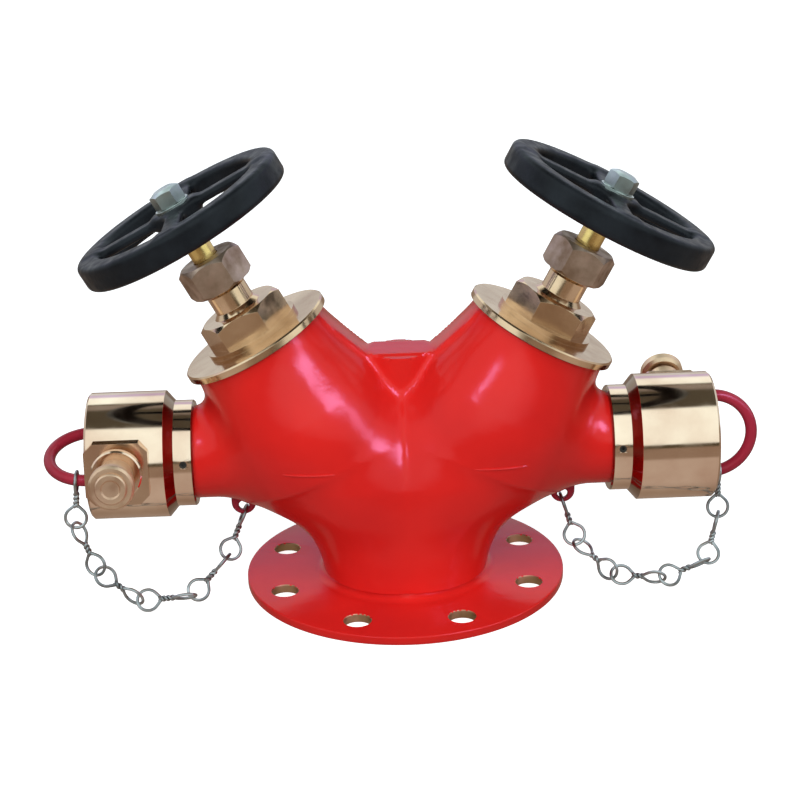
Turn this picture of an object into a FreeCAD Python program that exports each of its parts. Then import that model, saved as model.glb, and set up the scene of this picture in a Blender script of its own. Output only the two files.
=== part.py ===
"""Double hydrant valve: one flanged inlet, two oblique globe valves, two capped instantaneous outlets.

Millimetres, +Z up, origin at the centre of the inlet flange's lower face.  +X runs to the right outlet
and the viewer stands at -Y.  Each head's axis passes through the origin, and stations along it are
measured from there; stations along an outlet are measured from the body's middle plane, and stations
along a release lug from the outlet's axis.  The sheet gives some of them from a face, as listed below it.
"""
import FreeCAD
import Part
import Sketcher

import math
import os
from types import SimpleNamespace

from FreeCAD import Placement, Rotation, Vector

SIZES = [
    # inlet flange and barrel
    ("flange_dia", 220), ("flange_thick", 6), ("bolt_inset", 20), ("bolt_hole", 18), ("flange_root", 8),
    ("barrel_dia", 110), ("barrel_wall", 5), ("barrel_height", 60), ("bore_depth", 36),
    # globe chests on their branches, heads, and the shoulders and boss between them
    ("head_tilt", 28.4), ("branch_start", 36), ("stem_dia", 72), ("branch_flare", 62), ("flare_below", 35),
    ("globe_station", 125), ("globe_dia", 123), ("globe_wall", 6.5), ("flare_above", 14), ("head_flare", -12),
    ("flare_bury", 0.4), ("head_dia", 96), ("chest_bore", 84), ("head_top", 198), ("partition_top", 86),
    ("seat_passage", 56), ("shoulder_dia", 90), ("shoulder_offset", 20), ("shoulder_height", 100),
    ("boss_dia", 42), ("boss_top", 165), ("saddle_thick", 26), ("saddle_station", -11),
    # outlet necks and chain ears
    ("outlet_height", 96), ("neck_dia", 62), ("neck_bore", 50), ("neck_shoulder", 140), ("neck_thread", 56),
    ("neck_end", 22), ("ear_station", 110), ("ear_height", 58), ("ear_dia", 17), ("ear_thick", 5),
    ("ear_hole", 7.2), ("ear_hole_drop", 2),
    # seat, disc and its facing
    ("seat_bore", 52), ("seat_thread", 62), ("seat_sink", 6), ("seat_flange", 72), ("seat_lip", 60),
    ("seat_bevel", 1.5), ("seat_height", 4), ("facing_gap", 0.05), ("facing_thick", 5), ("facing_dia", 62),
    ("disc_skirt", 3), ("disc_rim", 2), ("disc_thick", 9), ("disc_bevel", 2.5), ("disc_hub", 32),
    ("hub_height", 20), ("stud_dia", 12), ("plate_dia", 44), ("plate_thick", 3.5), ("washer_nut_flats", 19),
    ("washer_nut_thick", 7), ("nut_chamfer", 1.2), ("stud_tail", 2), ("button_floor", 3), ("button_dia", 20),
    ("button_thick", 7), ("lock_nut_dia", 26),
    # spindle and bonnet
    ("run_clear", 0.05), ("button_neck", 15), ("thread_dia", 20), ("thread_gap", 1.95), ("thread_end", 2),
    ("thread_bevel", 1.5), ("stem_size", 17), ("square_size", 12), ("square_inset", 1.5), ("stud_reach", 8),
    ("boss_bottom", -28), ("thread_boss", 32), ("spigot_length", 14), ("gasket_thick", 1.5),
    ("bonnet_flange", 105), ("bonnet_flange_thick", 5), ("edge_break", 1), ("step_dia", 66),
    ("step_height", 3.5), ("bonnet_flats", 52.5), ("bonnet_hex_height", 17), ("bonnet_chamfer", 4),
    ("bonnet_chamfer_drop", 3), ("stuffing_neck", 28), ("neck_root", 3), ("stuffing_dia", 33),
    ("stuffing_start", 44), ("stuffing_flare", 2), ("stuffing_top", 58), ("chamber_dia", 24),
    ("chamber_floor", 42), ("throat_length", 8), ("relief_start", 8), ("relief_dia", 23),
    # gland
    ("packing_height", 10), ("follower_flange", 30), ("follower_lip", 2), ("follower_length", 7),
    ("gland_flats", 40), ("gland_bottom", 45), ("gland_top", 67), ("gland_chamfer", 4), ("gland_foot", 2.5),
    ("gland_play", 0.5),
    # handwheel
    ("wheel_dia", 150), ("rim_width", 17), ("rim_height", 18), ("rim_round", 3), ("rim_belly", 5),
    ("wheel_top", 106.5), ("hub_dia", 32), ("hub_length", 18.5), ("hub_bevel", 2), ("hub_taper", 4),
    ("hub_pilot", 6), ("spoke_width", 13), ("spoke_height", 6), ("spoke_bevel", 2.5), ("spoke_count", 4),
    ("spoke_drop", 4), ("spoke_bury", 3), ("wheel_washer_dia", 24), ("wheel_washer_thick", 2.5),
    ("wheel_nut_flats", 19), ("wheel_nut_thick", 10), ("nut_crown", 1.5), ("nut_gap", 0.5),
    # instantaneous coupling
    ("collar_dia", 72), ("collar_end", 13), ("coupling_dia", 86), ("coupling_taper", 6), ("coupling_end", 71),
    ("coupling_chamfer", 1.5), ("seal_start", 23), ("seal_thick", 6), ("seal_groove", 2.5), ("seal_bore", 54),
    ("seal_bevel", 2), ("plug_bore", 67), ("mouth_chamfer", 2.5), ("grub_station", 6.5), ("grub_dia", 5),
    ("grub_sink", 1), ("grub_socket", 2.5), ("grub_rise", 8),
    # release lug
    ("lug_station", 49.5), ("left_lug_rise", 5), ("right_lug_rise", 17), ("pad_size", 42), ("pad_corner", 6),
    ("pad_base", -6), ("pad_face", 3), ("boss_ring_dia", 34), ("boss_ring_top", 6), ("drill_depth", 4),
    ("housing_dia", 23), ("housing_base", 1), ("housing_top", 23), ("housing_end", 3), ("tooth_dia", 16),
    ("nose_dia", 10), ("nose_tip", -3), ("nose_end", 0.5), ("tooth_taper", 2), ("tooth_end", 7),
    ("lug_stem", 8), ("lug_stem_end", 33), ("spring_mean", 12.4), ("spring_wire", 1.2), ("spring_turns", 4),
    ("spring_seat", 0.1), ("knob_dia", 30), ("knob_base", 25), ("knob_foot", 2), ("knob_shoulder", 33.5),
    ("knob_bevel", 1.5), ("knob_face_dia", 21), ("knob_top", 36), ("knob_dish", 13),
    # blank cap with its loop handle
    ("cap_clear", 0.3), ("cap_start", 29.3), ("cap_lead", 2), ("cap_face", 67), ("cap_plate", 6),
    ("cap_wall", 8), ("groove_depth", 3.7), ("groove_play", 0.6), ("loop_radius", 28), ("loop_rod", 8),
    ("loop_start", 72), ("loop_bury", 2), ("left_loop_turn", 76), ("right_loop_turn", 0),
    # chain
    ("chain_wire", 2.2), ("chain_loop", 12), ("end_loop", 13.5), ("loop_point", 1.2), ("chain_play", 1.4),
    ("chain_seat", 0.7), ("knot_dia", 4.4), ("left_chain_station", 79), ("right_chain_station", 78),
]

# Stations that the sheet gives from a head's top face and from the shoulder of an outlet's neck.
FROM_HEAD = ("head_flare", "saddle_station", "boss_bottom", "thread_end", "relief_start", "chamber_floor",
             "stuffing_start", "stuffing_top", "gland_bottom", "gland_top", "wheel_top")
FROM_SHOULDER = ("neck_end", "collar_end", "grub_station", "seal_start", "cap_start", "lug_station", "cap_face",
                 "coupling_end", "loop_start", "left_chain_station", "right_chain_station")
# Stations along a release lug that the sheet gives from the coupling's outside and from its bore.
FROM_COUPLING = ("pad_base", "pad_face", "boss_ring_top", "housing_base", "housing_top", "tooth_end",
                 "lug_stem_end", "knob_base", "knob_shoulder", "knob_top")
FROM_BORE = ("nose_tip", "nose_end")

# Where neighbouring links of the chains meet, from the blank cap's loop to the ear on the body.
LEFT_CHAIN = [(-221.5, -29.5, 58), (-207, -40.5, 28), (-180.5, -45, 7.6), (-145, -40, 7.6), (-121.5, -21, 27)]
RIGHT_CHAIN = [(217, -8, 39), (206, -29, 14), (174, -40, 7.6), (141, -36.5, 10), (118, -18.5, 27)]

BOLT_COUNT = 8
# The chain's wire is a few-sided bar with mitred bends.
WIRE_SIDES = 6
LOOP_BENDS = 10
KNOT_SIDES = 8
RIGHT_CORNERS = 1
HEX_CORNER = 2 / math.sqrt(3)
SIDES = {"left": -1, "right": 1}


class Size:
    """A length that keeps its number and the sheet expression it came from together."""

    def __init__(self, value, text):
        self.value = float(value)
        self.text = text

    def __add__(self, other):
        other = as_size(other)
        return Size(self.value + other.value, f"({self.text} + {other.text})")

    def __sub__(self, other):
        other = as_size(other)
        return Size(self.value - other.value, f"({self.text} - {other.text})")

    def __mul__(self, other):
        other = as_size(other)
        return Size(self.value * other.value, f"({self.text} * {other.text})")

    def __truediv__(self, other):
        other = as_size(other)
        return Size(self.value / other.value, f"({self.text} / {other.text})")

    def __neg__(self):
        return self * -1


def as_size(number):
    return number if isinstance(number, Size) else Size(number, f"{number:.9f}")


doc = FreeCAD.newDocument("DoubleHydrantValve")
sheet = doc.addObject("Spreadsheet::Sheet", "Sizes")
d = SimpleNamespace()
for row, (alias, number) in enumerate(SIZES, start=1):
    sheet.set(f"A{row}", alias)
    sheet.set(f"B{row}", str(number))
    sheet.setAlias(f"B{row}", alias)
    setattr(d, alias, Size(number, f"Sizes.{alias}"))
doc.recompute()
for aliases, face in ((FROM_HEAD, d.head_top), (FROM_SHOULDER, d.neck_shoulder),
                      (FROM_COUPLING, d.coupling_dia / 2), (FROM_BORE, d.plug_bore / 2)):
    for alias in aliases:
        setattr(d, alias, face + getattr(d, alias))
bolt_circle = d.flange_dia - d.bolt_inset * 2
inlet_bore = d.barrel_dia - d.barrel_wall * 2
seat_face = d.partition_top + d.seat_height
seal_dia = d.plug_bore + d.seal_groove * 2
gland_hole = d.stem_size + d.gland_play * 2
wheel_foot = d.wheel_top - d.hub_length
washer_top = d.wheel_top + d.wheel_washer_thick
stud_end = washer_top + d.stud_reach
TILT = math.radians(d.head_tilt.value)
tilt_sine = Size(math.sin(TILT), "sin(Sizes.head_tilt)")
tilt_cosine = Size(math.cos(TILT), "cos(Sizes.head_tilt)")
subparts = []


def bind(item, **sizes):
    """Tie properties of a document object to the sheet; double underscores stand for dots."""
    for name, number in sizes.items():
        item.setExpression(name.replace("__", "."), as_size(number).text)


def origin_plane(body, role):
    return next(plane for plane in body.Origin.OriginFeatures if plane.Role == role)


def new_sketch(body, name, role):
    sketch = body.newObject("Sketcher::SketchObject", name)
    sketch.AttachmentSupport = [(origin_plane(body, role), "")]
    sketch.MapMode = "FlatFace"
    return sketch


def measure(sketch, kind, ends, number):
    """Add a dimension to a sketch and tie it to the sheet."""
    index = sketch.addConstraint(Sketcher.Constraint(kind, *ends, number.value))
    sketch.setExpression(f"Constraints[{index}]", number.text)


def pin_point(sketch, edge, across, along):
    """Hold the start point of an edge at its two coordinates, which may be negative or nought."""
    for kind, axis, number in (("DistanceX", -2, as_size(across)), ("DistanceY", -1, as_size(along))):
        if number.value == 0:
            sketch.addConstraint(Sketcher.Constraint("PointOnObject", edge, 1, axis))
            continue
        ends = (-1, 1, edge, 1) if number.value > 0 else (edge, 1, -1, 1)
        measure(sketch, kind, ends, number if number.value > 0 else -number)


def draw_polygon(sketch, points):
    """Closed outline through points given as pairs of sizes."""
    corners = [Vector(as_size(across).value, as_size(along).value, 0) for across, along in points]
    first = sketch.GeometryCount
    count = len(corners)
    for number in range(count):
        sketch.addGeometry(Part.LineSegment(corners[number], corners[(number + 1) % count]), False)
    for number in range(count):
        following = first + (number + 1) % count
        sketch.addConstraint(Sketcher.Constraint("Coincident", first + number, 2, following, 1))
    for number, (across, along) in enumerate(points):
        pin_point(sketch, first + number, across, along)


def new_body(name):
    body = doc.addObject("PartDesign::Body", name)
    body.Label = name
    return body


def turned(name, profile):
    """Body of revolution about its own Z from an outline of (radius, station) points."""
    body = new_body(name)
    sketch = new_sketch(body, f"{name}_profile", "XZ_Plane")
    draw_polygon(sketch, profile)
    feature = body.newObject("PartDesign::Revolution", f"{name}_turning")
    feature.Profile = sketch
    feature.ReferenceAxis = (sketch, ["V_Axis"])
    feature.Angle = 360
    body.Tip = feature
    return body


def hexagon(flats):
    corner = flats * (HEX_CORNER / 2)
    turns = [math.radians(60 * number) for number in range(6)]
    return [(corner * round(math.cos(turn), 9), corner * round(math.sin(turn), 9)) for turn in turns]


def square(flats):
    half = flats / 2
    return [(half, -half), (half, half), (-half, half), (-half, -half)]


def mill_flats(body, outline, bottom, top, clear_dia):
    """Cut away everything outside an outline between two stations, as flats are milled on a turned blank."""
    name = f"{body.Name}_flats"
    sketch = new_sketch(body, f"{name}_outline", "XY_Plane")
    bind(sketch, AttachmentOffset__Base__z=bottom)
    draw_polygon(sketch, outline)
    radius = clear_dia / 2
    ring = sketch.addGeometry(Part.Circle(Vector(), Vector(0, 0, 1), radius.value), False)
    sketch.addConstraint(Sketcher.Constraint("Coincident", ring, 3, -1, 1))
    measure(sketch, "Radius", (ring,), radius)
    cut = body.newObject("PartDesign::Pocket", name)
    cut.Profile = sketch
    cut.Reversed = True
    bind(cut, Length=top - bottom)
    body.Tip = cut


def primitive(kind, name, **sizes):
    item = doc.addObject(f"Part::{kind}", name)
    bind(item, **sizes)
    return item


def place(item, base=(0, 0, 0), axis=(0, 0, 1), angle=0):
    """Place an object by a base point and a turn about an axis, all tied to the sheet."""
    base = [as_size(number) for number in base]
    angle = as_size(angle)
    turn = Rotation(Vector(*axis), angle.value)
    item.Placement = Placement(Vector(*[number.value for number in base]), turn)
    for letter, number in zip("xyz", base):
        if number.value != 0:
            item.setExpression(f"Placement.Base.{letter}", number.text)
    if angle.value != 0:
        item.setExpression("Placement.Rotation.Angle", angle.text)
    return item


def fused(name, pieces):
    item = doc.addObject("Part::MultiFuse", name)
    item.Shapes = pieces
    item.Refine = True
    return item


def cut(name, base, tool):
    item = doc.addObject("Part::Cut", name)
    item.Base = base
    item.Tool = tool
    item.Refine = True
    return item


def keep(item, name):
    item.Label = name
    subparts.append(item)
    return item


def on_head(item, side):
    """Stand a piece on a head's axis, which leans outwards through the origin."""
    return place(item, axis=(0, SIDES[side], 0), angle=d.head_tilt)


def on_outlet(item, side):
    """Lay a piece on an outlet's axis, its own Z pointing outwards."""
    return place(item, base=(0, 0, d.outlet_height), axis=(0, SIDES[side], 0), angle=90)


def on_lug(item, side):
    """Set a piece on a release lug's axis: forwards on the left outlet, backwards on the right one."""
    rise = d.left_lug_rise if side == "left" else d.right_lug_rise
    base = (d.lug_station * SIDES[side], 0, d.outlet_height)
    return place(item, base=base, axis=(-SIDES[side], 0, 0), angle=as_size(90) - rise)


def head_point(side, station, inwards=0):
    """Point at a station of a head's axis, moved square to the axis towards the body's middle plane."""
    inwards = as_size(inwards)
    across = station * tilt_sine - inwards * tilt_cosine
    up = station * tilt_cosine + inwards * tilt_sine
    return (across * SIDES[side], 0, up)


def head_cylinder(name, side, dia, start, end):
    item = primitive("Cylinder", name, Radius=dia / 2, Height=end - start)
    return place(item, base=head_point(side, start), axis=(0, SIDES[side], 0), angle=d.head_tilt)


def head_cone(name, side, first_radius, last_radius, start, end):
    """Cone along a head's axis; both ends are sunk a little into what they join."""
    item = primitive("Cone", name, Radius1=first_radius - d.flare_bury, Radius2=last_radius - d.flare_bury,
                     Height=end - start)
    return place(item, base=head_point(side, start), axis=(0, SIDES[side], 0), angle=d.head_tilt)


def globe_girth(offset):
    """Radius of a globe's outside at a distance from its centre along the head's axis."""
    radius = d.globe_dia / 2
    return Size(math.sqrt(radius.value ** 2 - offset.value ** 2), f"sqrt({radius.text}^2 - {offset.text}^2)")


def outlet_cylinder(name, side, dia, start, end):
    item = primitive("Cylinder", name, Radius=dia / 2, Height=end - start)
    return place(item, base=(start * SIDES[side], 0, d.outlet_height), axis=(0, SIDES[side], 0), angle=90)


def cross_cylinder(name, side, dia, station, height, length):
    """Cylinder lying along Y, centred on the middle plane of the outlets."""
    item = primitive("Cylinder", name, Radius=dia / 2, Height=length)
    return place(item, base=(station * SIDES[side], length / 2, height), axis=(1, 0, 0), angle=90)


def flange_root():
    """Concave ring between the flange's upper face and the barrel."""
    top = d.flange_thick + d.flange_root
    spread = d.barrel_dia / 2 + d.flange_root
    ring = primitive("Cylinder", "root_ring", Radius=spread, Height=top)
    sweep = primitive("Torus", "root_sweep", Radius1=spread, Radius2=d.flange_root)
    return cut("root", ring, place(sweep, base=(0, 0, top)))


def saddle():
    """Web that joins the boss to both heads."""
    body = new_body("saddle")
    sketch = new_sketch(body, "saddle_outline", "XZ_Plane")
    edge = d.boss_dia / 2
    left_lip = head_point("left", d.saddle_station, d.head_dia / 2)
    right_lip = head_point("right", d.saddle_station, d.head_dia / 2)
    left_root = head_point("left", d.globe_station)
    right_root = head_point("right", d.globe_station)
    draw_polygon(sketch, [(left_lip[0], left_lip[2]), (-edge, d.boss_top), (edge, d.boss_top),
                          (right_lip[0], right_lip[2]), (right_root[0], right_root[2]),
                          (left_root[0], left_root[2])])
    pad = body.newObject("PartDesign::Pad", "saddle_pad")
    pad.Profile = sketch
    pad.Midplane = True
    bind(pad, Length=d.saddle_thick)
    body.Tip = pad
    return body


def casting_half(side):
    """What one half of the casting adds to the barrel."""
    globe = primitive("Sphere", f"{side}_globe", Radius=d.globe_dia / 2)
    shoulder = primitive("Sphere", f"{side}_shoulder", Radius=d.shoulder_dia / 2)
    stem = d.stem_dia / 2
    return [
        head_cylinder(f"{side}_stem", side, d.stem_dia, d.branch_start, d.globe_station),
        head_cone(f"{side}_branch", side, stem, globe_girth(d.flare_below), d.branch_flare,
                  d.globe_station - d.flare_below),
        place(globe, base=head_point(side, d.globe_station)),
        head_cone(f"{side}_throat", side, globe_girth(d.flare_above), d.head_dia / 2,
                  d.globe_station + d.flare_above, d.head_flare),
        head_cylinder(f"{side}_head", side, d.head_dia, d.globe_station, d.head_top),
        place(shoulder, base=(d.shoulder_offset * SIDES[side], 0, d.shoulder_height)),
        outlet_cylinder(f"{side}_neck", side, d.neck_dia, d.neck_bore, d.neck_shoulder),
        outlet_cylinder(f"{side}_neck_tail", side, d.neck_thread, d.neck_bore, d.neck_end),
        cross_cylinder(f"{side}_ear", side, d.ear_dia, d.ear_station, d.ear_height, d.ear_thick),
    ]


def cores_half(side):
    """What is cored and machined out of one half of the casting."""
    radius = d.globe_dia / 2 - d.globe_wall
    drop = d.globe_station - d.partition_top
    chest = primitive("Sphere", f"{side}_chest", Radius=radius)
    latitude = math.degrees(math.asin(drop.value / radius.value))
    bind(chest, Angle1=Size(-latitude, f"(-1 * asin({drop.text} / {radius.text}))"))
    place(chest, base=head_point(side, d.globe_station), axis=(0, SIDES[side], 0), angle=d.head_tilt)
    hole_height = d.ear_height - d.ear_hole_drop
    return [
        chest,
        head_cylinder(f"{side}_chest_bore", side, d.chest_bore, d.globe_station, d.head_top),
        head_cylinder(f"{side}_passage", side, d.seat_passage, d.branch_start, d.partition_top),
        head_cylinder(f"{side}_seat_hole", side, d.seat_thread, d.partition_top - d.seat_sink,
                      d.partition_top),
        outlet_cylinder(f"{side}_neck_bore", side, d.neck_bore, d.neck_bore, d.neck_end),
        cross_cylinder(f"{side}_ear_hole", side, d.ear_hole, d.ear_station, hole_height, d.ear_thick),
    ]


def bolt_holes():
    holes = []
    for number in range(BOLT_COUNT):
        turn = math.radians((number + 0.5) * 360 / BOLT_COUNT)
        hole = primitive("Cylinder", f"bolt_hole_{number + 1}", Radius=d.bolt_hole / 2, Height=d.flange_thick)
        base = (bolt_circle * (math.cos(turn) / 2), bolt_circle * (math.sin(turn) / 2), 0)
        holes.append(place(hole, base=base))
    return holes


def valve_body():
    """The casting: flange, barrel with its dome, two globe heads, shoulders, outlet necks, boss and saddle."""
    flange = primitive("Cylinder", "flange", Radius=d.flange_dia / 2, Height=d.flange_thick)
    barrel = primitive("Cylinder", "barrel", Radius=d.barrel_dia / 2, Height=d.barrel_height)
    dome = primitive("Sphere", "dome", Radius=d.barrel_dia / 2)
    dome.Angle1 = 0
    place(dome, base=(0, 0, d.barrel_height))
    boss = primitive("Cylinder", "boss", Radius=d.boss_dia / 2, Height=d.boss_top - d.barrel_height)
    place(boss, base=(0, 0, d.barrel_height))
    outside = [flange, flange_root(), barrel, dome, boss, saddle()]
    bore = primitive("Cylinder", "inlet_bore_core", Radius=inlet_bore / 2, Height=d.bore_depth)
    crown = primitive("Sphere", "crown_core", Radius=inlet_bore / 2)
    crown.Angle1 = 0
    place(crown, base=(0, 0, d.bore_depth))
    inside = [bore, crown] + bolt_holes()
    for side in SIDES:
        outside += casting_half(side)
        inside += cores_half(side)
    keep(cut("valve_body", fused("casting", outside), fused("cores", inside)), "valve_body")


def seat_and_disc(side):
    """Seat ring, and the disc that closes on it with its rubber facing and the nuts that hold them."""
    seat_bore = d.seat_bore / 2
    sink = d.partition_top - d.seat_sink
    ring = turned(f"{side}_seat_ring", [
        (seat_bore, sink), (d.seat_thread / 2, sink), (d.seat_thread / 2, d.partition_top),
        (d.seat_flange / 2, d.partition_top), (d.seat_flange / 2, seat_face - d.seat_bevel),
        (d.seat_lip / 2, seat_face), (seat_bore, seat_face)])
    facing_low = seat_face + d.facing_gap
    facing_top = facing_low + d.facing_thick
    stud = d.stud_dia / 2
    facing = turned(f"{side}_seat_washer", [
        (stud, facing_low), (d.facing_dia / 2, facing_low), (d.facing_dia / 2, facing_top),
        (stud, facing_top)])
    plate_low = facing_low - d.plate_thick
    plate = turned(f"{side}_washer_plate", [
        (stud, plate_low), (d.plate_dia / 2, plate_low), (d.plate_dia / 2, facing_low), (stud, facing_low)])
    nut_low = plate_low - d.washer_nut_thick
    nut = hex_nut(f"{side}_washer_nut", d.washer_nut_flats, d.stud_dia, nut_low, plate_low)
    skirt = d.facing_dia / 2 + d.disc_rim
    disc_top = facing_top + d.disc_thick
    hub = d.disc_hub / 2
    hub_top = disc_top + d.hub_height
    floor = disc_top + d.button_floor
    shelf = floor + d.button_thick
    cavity = d.button_dia / 2 + d.run_clear
    disc = turned(f"{side}_valve_disc", [
        (0, nut_low - d.stud_tail), (stud, nut_low - d.stud_tail), (stud, facing_top),
        (d.facing_dia / 2, facing_top), (d.facing_dia / 2, facing_top - d.disc_skirt),
        (skirt, facing_top - d.disc_skirt), (skirt, disc_top - d.disc_bevel),
        (skirt - d.disc_bevel, disc_top),
        (hub, disc_top), (hub, hub_top), (d.lock_nut_dia / 2, hub_top), (d.lock_nut_dia / 2, shelf),
        (cavity, shelf), (cavity, floor), (0, floor)])
    lock = turned(f"{side}_disc_lock_nut", [
        (d.button_neck / 2 + d.run_clear, shelf), (d.lock_nut_dia / 2, shelf),
        (d.lock_nut_dia / 2, hub_top), (d.button_neck / 2 + d.run_clear, hub_top)])
    for item in (ring, facing, plate, nut, disc, lock):
        keep(on_head(item, side), item.Name)
    return floor, shelf, hub_top


def hex_nut(name, flats, bore, bottom, top):
    """Hexagon nut with both faces chamfered at the corners."""
    corner = flats * (HEX_CORNER / 2)
    chamfer = d.nut_chamfer
    nut = turned(name, [
        (bore / 2, bottom), (corner - chamfer, bottom), (corner, bottom + chamfer / 2),
        (corner, top - chamfer / 2), (corner - chamfer, top), (bore / 2, top)])
    mill_flats(nut, hexagon(flats), bottom, top, corner * 3)
    return nut


def cap_nut(name, flats, bottom):
    """Hexagon nut with a closed, slightly raised top over the end of its stud."""
    corner = flats * (HEX_CORNER / 2)
    chamfer = d.nut_chamfer
    top = bottom + d.wheel_nut_thick
    crown = top + d.nut_crown
    well = stud_end + d.nut_gap
    nut = turned(name, [
        (d.stud_dia / 2, bottom), (corner - chamfer, bottom), (corner, bottom + chamfer / 2),
        (corner, top - chamfer / 2), (flats / 2, top), (flats / 2 - d.nut_crown * 2, crown), (0, crown),
        (0, well), (d.stud_dia / 2, well)])
    mill_flats(nut, hexagon(flats), bottom, crown, corner * 3)
    return nut


def spindle(side, floor, shelf, hub_top):
    """Rising spindle: button, thread, plain stem, square for the wheel and a threaded stud."""
    corner = d.square_size * (math.sqrt(2) / 2)
    stem = d.stem_size / 2
    thread = d.thread_dia / 2
    end_play = d.run_clear
    thread_start = hub_top + d.thread_gap
    square_end = d.wheel_top - d.square_inset
    shaft = turned(f"{side}_spindle", [
        (0, floor + end_play), (d.button_dia / 2, floor + end_play), (d.button_dia / 2, shelf - end_play),
        (d.button_neck / 2, shelf - end_play), (d.button_neck / 2, thread_start - d.thread_bevel),
        (thread, thread_start), (thread, d.thread_end - d.thread_bevel), (stem, d.thread_end),
        (stem, wheel_foot), (corner, wheel_foot), (corner, square_end),
        (d.stud_dia / 2, square_end), (d.stud_dia / 2, stud_end - d.thread_bevel),
        (d.stud_dia / 2 - d.thread_bevel, stud_end), (0, stud_end)])
    mill_flats(shaft, square(d.square_size), wheel_foot, square_end, corner * 4)
    keep(on_head(shaft, side), shaft.Name)


def bonnet_and_gland(side):
    """Screwed cover of a head with its gasket, and the packed gland that seals the spindle."""
    stem_hole = d.stem_size / 2 + d.run_clear
    seat = d.head_top + d.gasket_thick
    flange_top = seat + d.bonnet_flange_thick
    hex_low = flange_top + d.step_height
    hex_top = hex_low + d.bonnet_hex_height
    corner = d.bonnet_flats * (HEX_CORNER / 2)
    neck = d.stuffing_neck / 2
    spigot_low = d.head_top - d.spigot_length
    cover = turned(f"{side}_bonnet", [
        (d.thread_dia / 2 + d.run_clear, d.boss_bottom), (d.thread_boss / 2, d.boss_bottom),
        (d.thread_boss / 2, spigot_low), (d.chest_bore / 2, spigot_low), (d.chest_bore / 2, seat),
        (d.bonnet_flange / 2, seat), (d.bonnet_flange / 2, flange_top - d.edge_break),
        (d.bonnet_flange / 2 - d.edge_break, flange_top), (d.step_dia / 2, flange_top),
        (d.step_dia / 2, hex_low),
        (corner, hex_low), (corner, hex_top - d.bonnet_chamfer_drop),
        (corner - d.bonnet_chamfer, hex_top),
        (neck + d.neck_root, hex_top), (neck, hex_top + d.neck_root),
        (neck, d.stuffing_start - d.stuffing_flare),
        (d.stuffing_dia / 2, d.stuffing_start), (d.stuffing_dia / 2, d.stuffing_top),
        (d.chamber_dia / 2, d.stuffing_top), (d.chamber_dia / 2, d.chamber_floor),
        (stem_hole, d.chamber_floor), (stem_hole, d.chamber_floor - d.throat_length),
        (d.relief_dia / 2, d.chamber_floor - d.throat_length), (d.relief_dia / 2, d.relief_start),
        (d.thread_dia / 2 + d.run_clear, d.relief_start)])
    mill_flats(cover, hexagon(d.bonnet_flats), hex_low, hex_top, corner * 3)
    gasket = turned(f"{side}_bonnet_gasket", [
        (d.chest_bore / 2, d.head_top), (d.head_dia / 2, d.head_top), (d.head_dia / 2, seat),
        (d.chest_bore / 2, seat)])
    packing_top = d.chamber_floor + d.packing_height
    packing = turned(f"{side}_gland_packing", [
        (stem_hole, d.chamber_floor), (d.chamber_dia / 2, d.chamber_floor),
        (d.chamber_dia / 2, packing_top), (stem_hole, packing_top)])
    lip = packing_top + d.follower_length
    follower_top = lip + d.follower_lip
    follower = turned(f"{side}_gland_follower", [
        (stem_hole, packing_top), (d.chamber_dia / 2, packing_top), (d.chamber_dia / 2, lip),
        (d.follower_flange / 2, lip), (d.follower_flange / 2, follower_top), (stem_hole, follower_top)])
    gland_corner = d.gland_flats * (HEX_CORNER / 2)
    nut = turned(f"{side}_gland_nut", [
        (d.stuffing_dia / 2, d.gland_bottom), (gland_corner - d.gland_foot, d.gland_bottom),
        (gland_corner, d.gland_bottom + d.gland_foot), (gland_corner, d.gland_top - d.gland_chamfer),
        (gland_corner - d.gland_chamfer, d.gland_top), (gland_hole / 2, d.gland_top),
        (gland_hole / 2, follower_top), (d.stuffing_dia / 2, follower_top)])
    mill_flats(nut, hexagon(d.gland_flats), d.gland_bottom, d.gland_top, gland_corner * 3)
    for item in (cover, gasket, packing, follower, nut):
        keep(on_head(item, side), item.Name)


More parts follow.
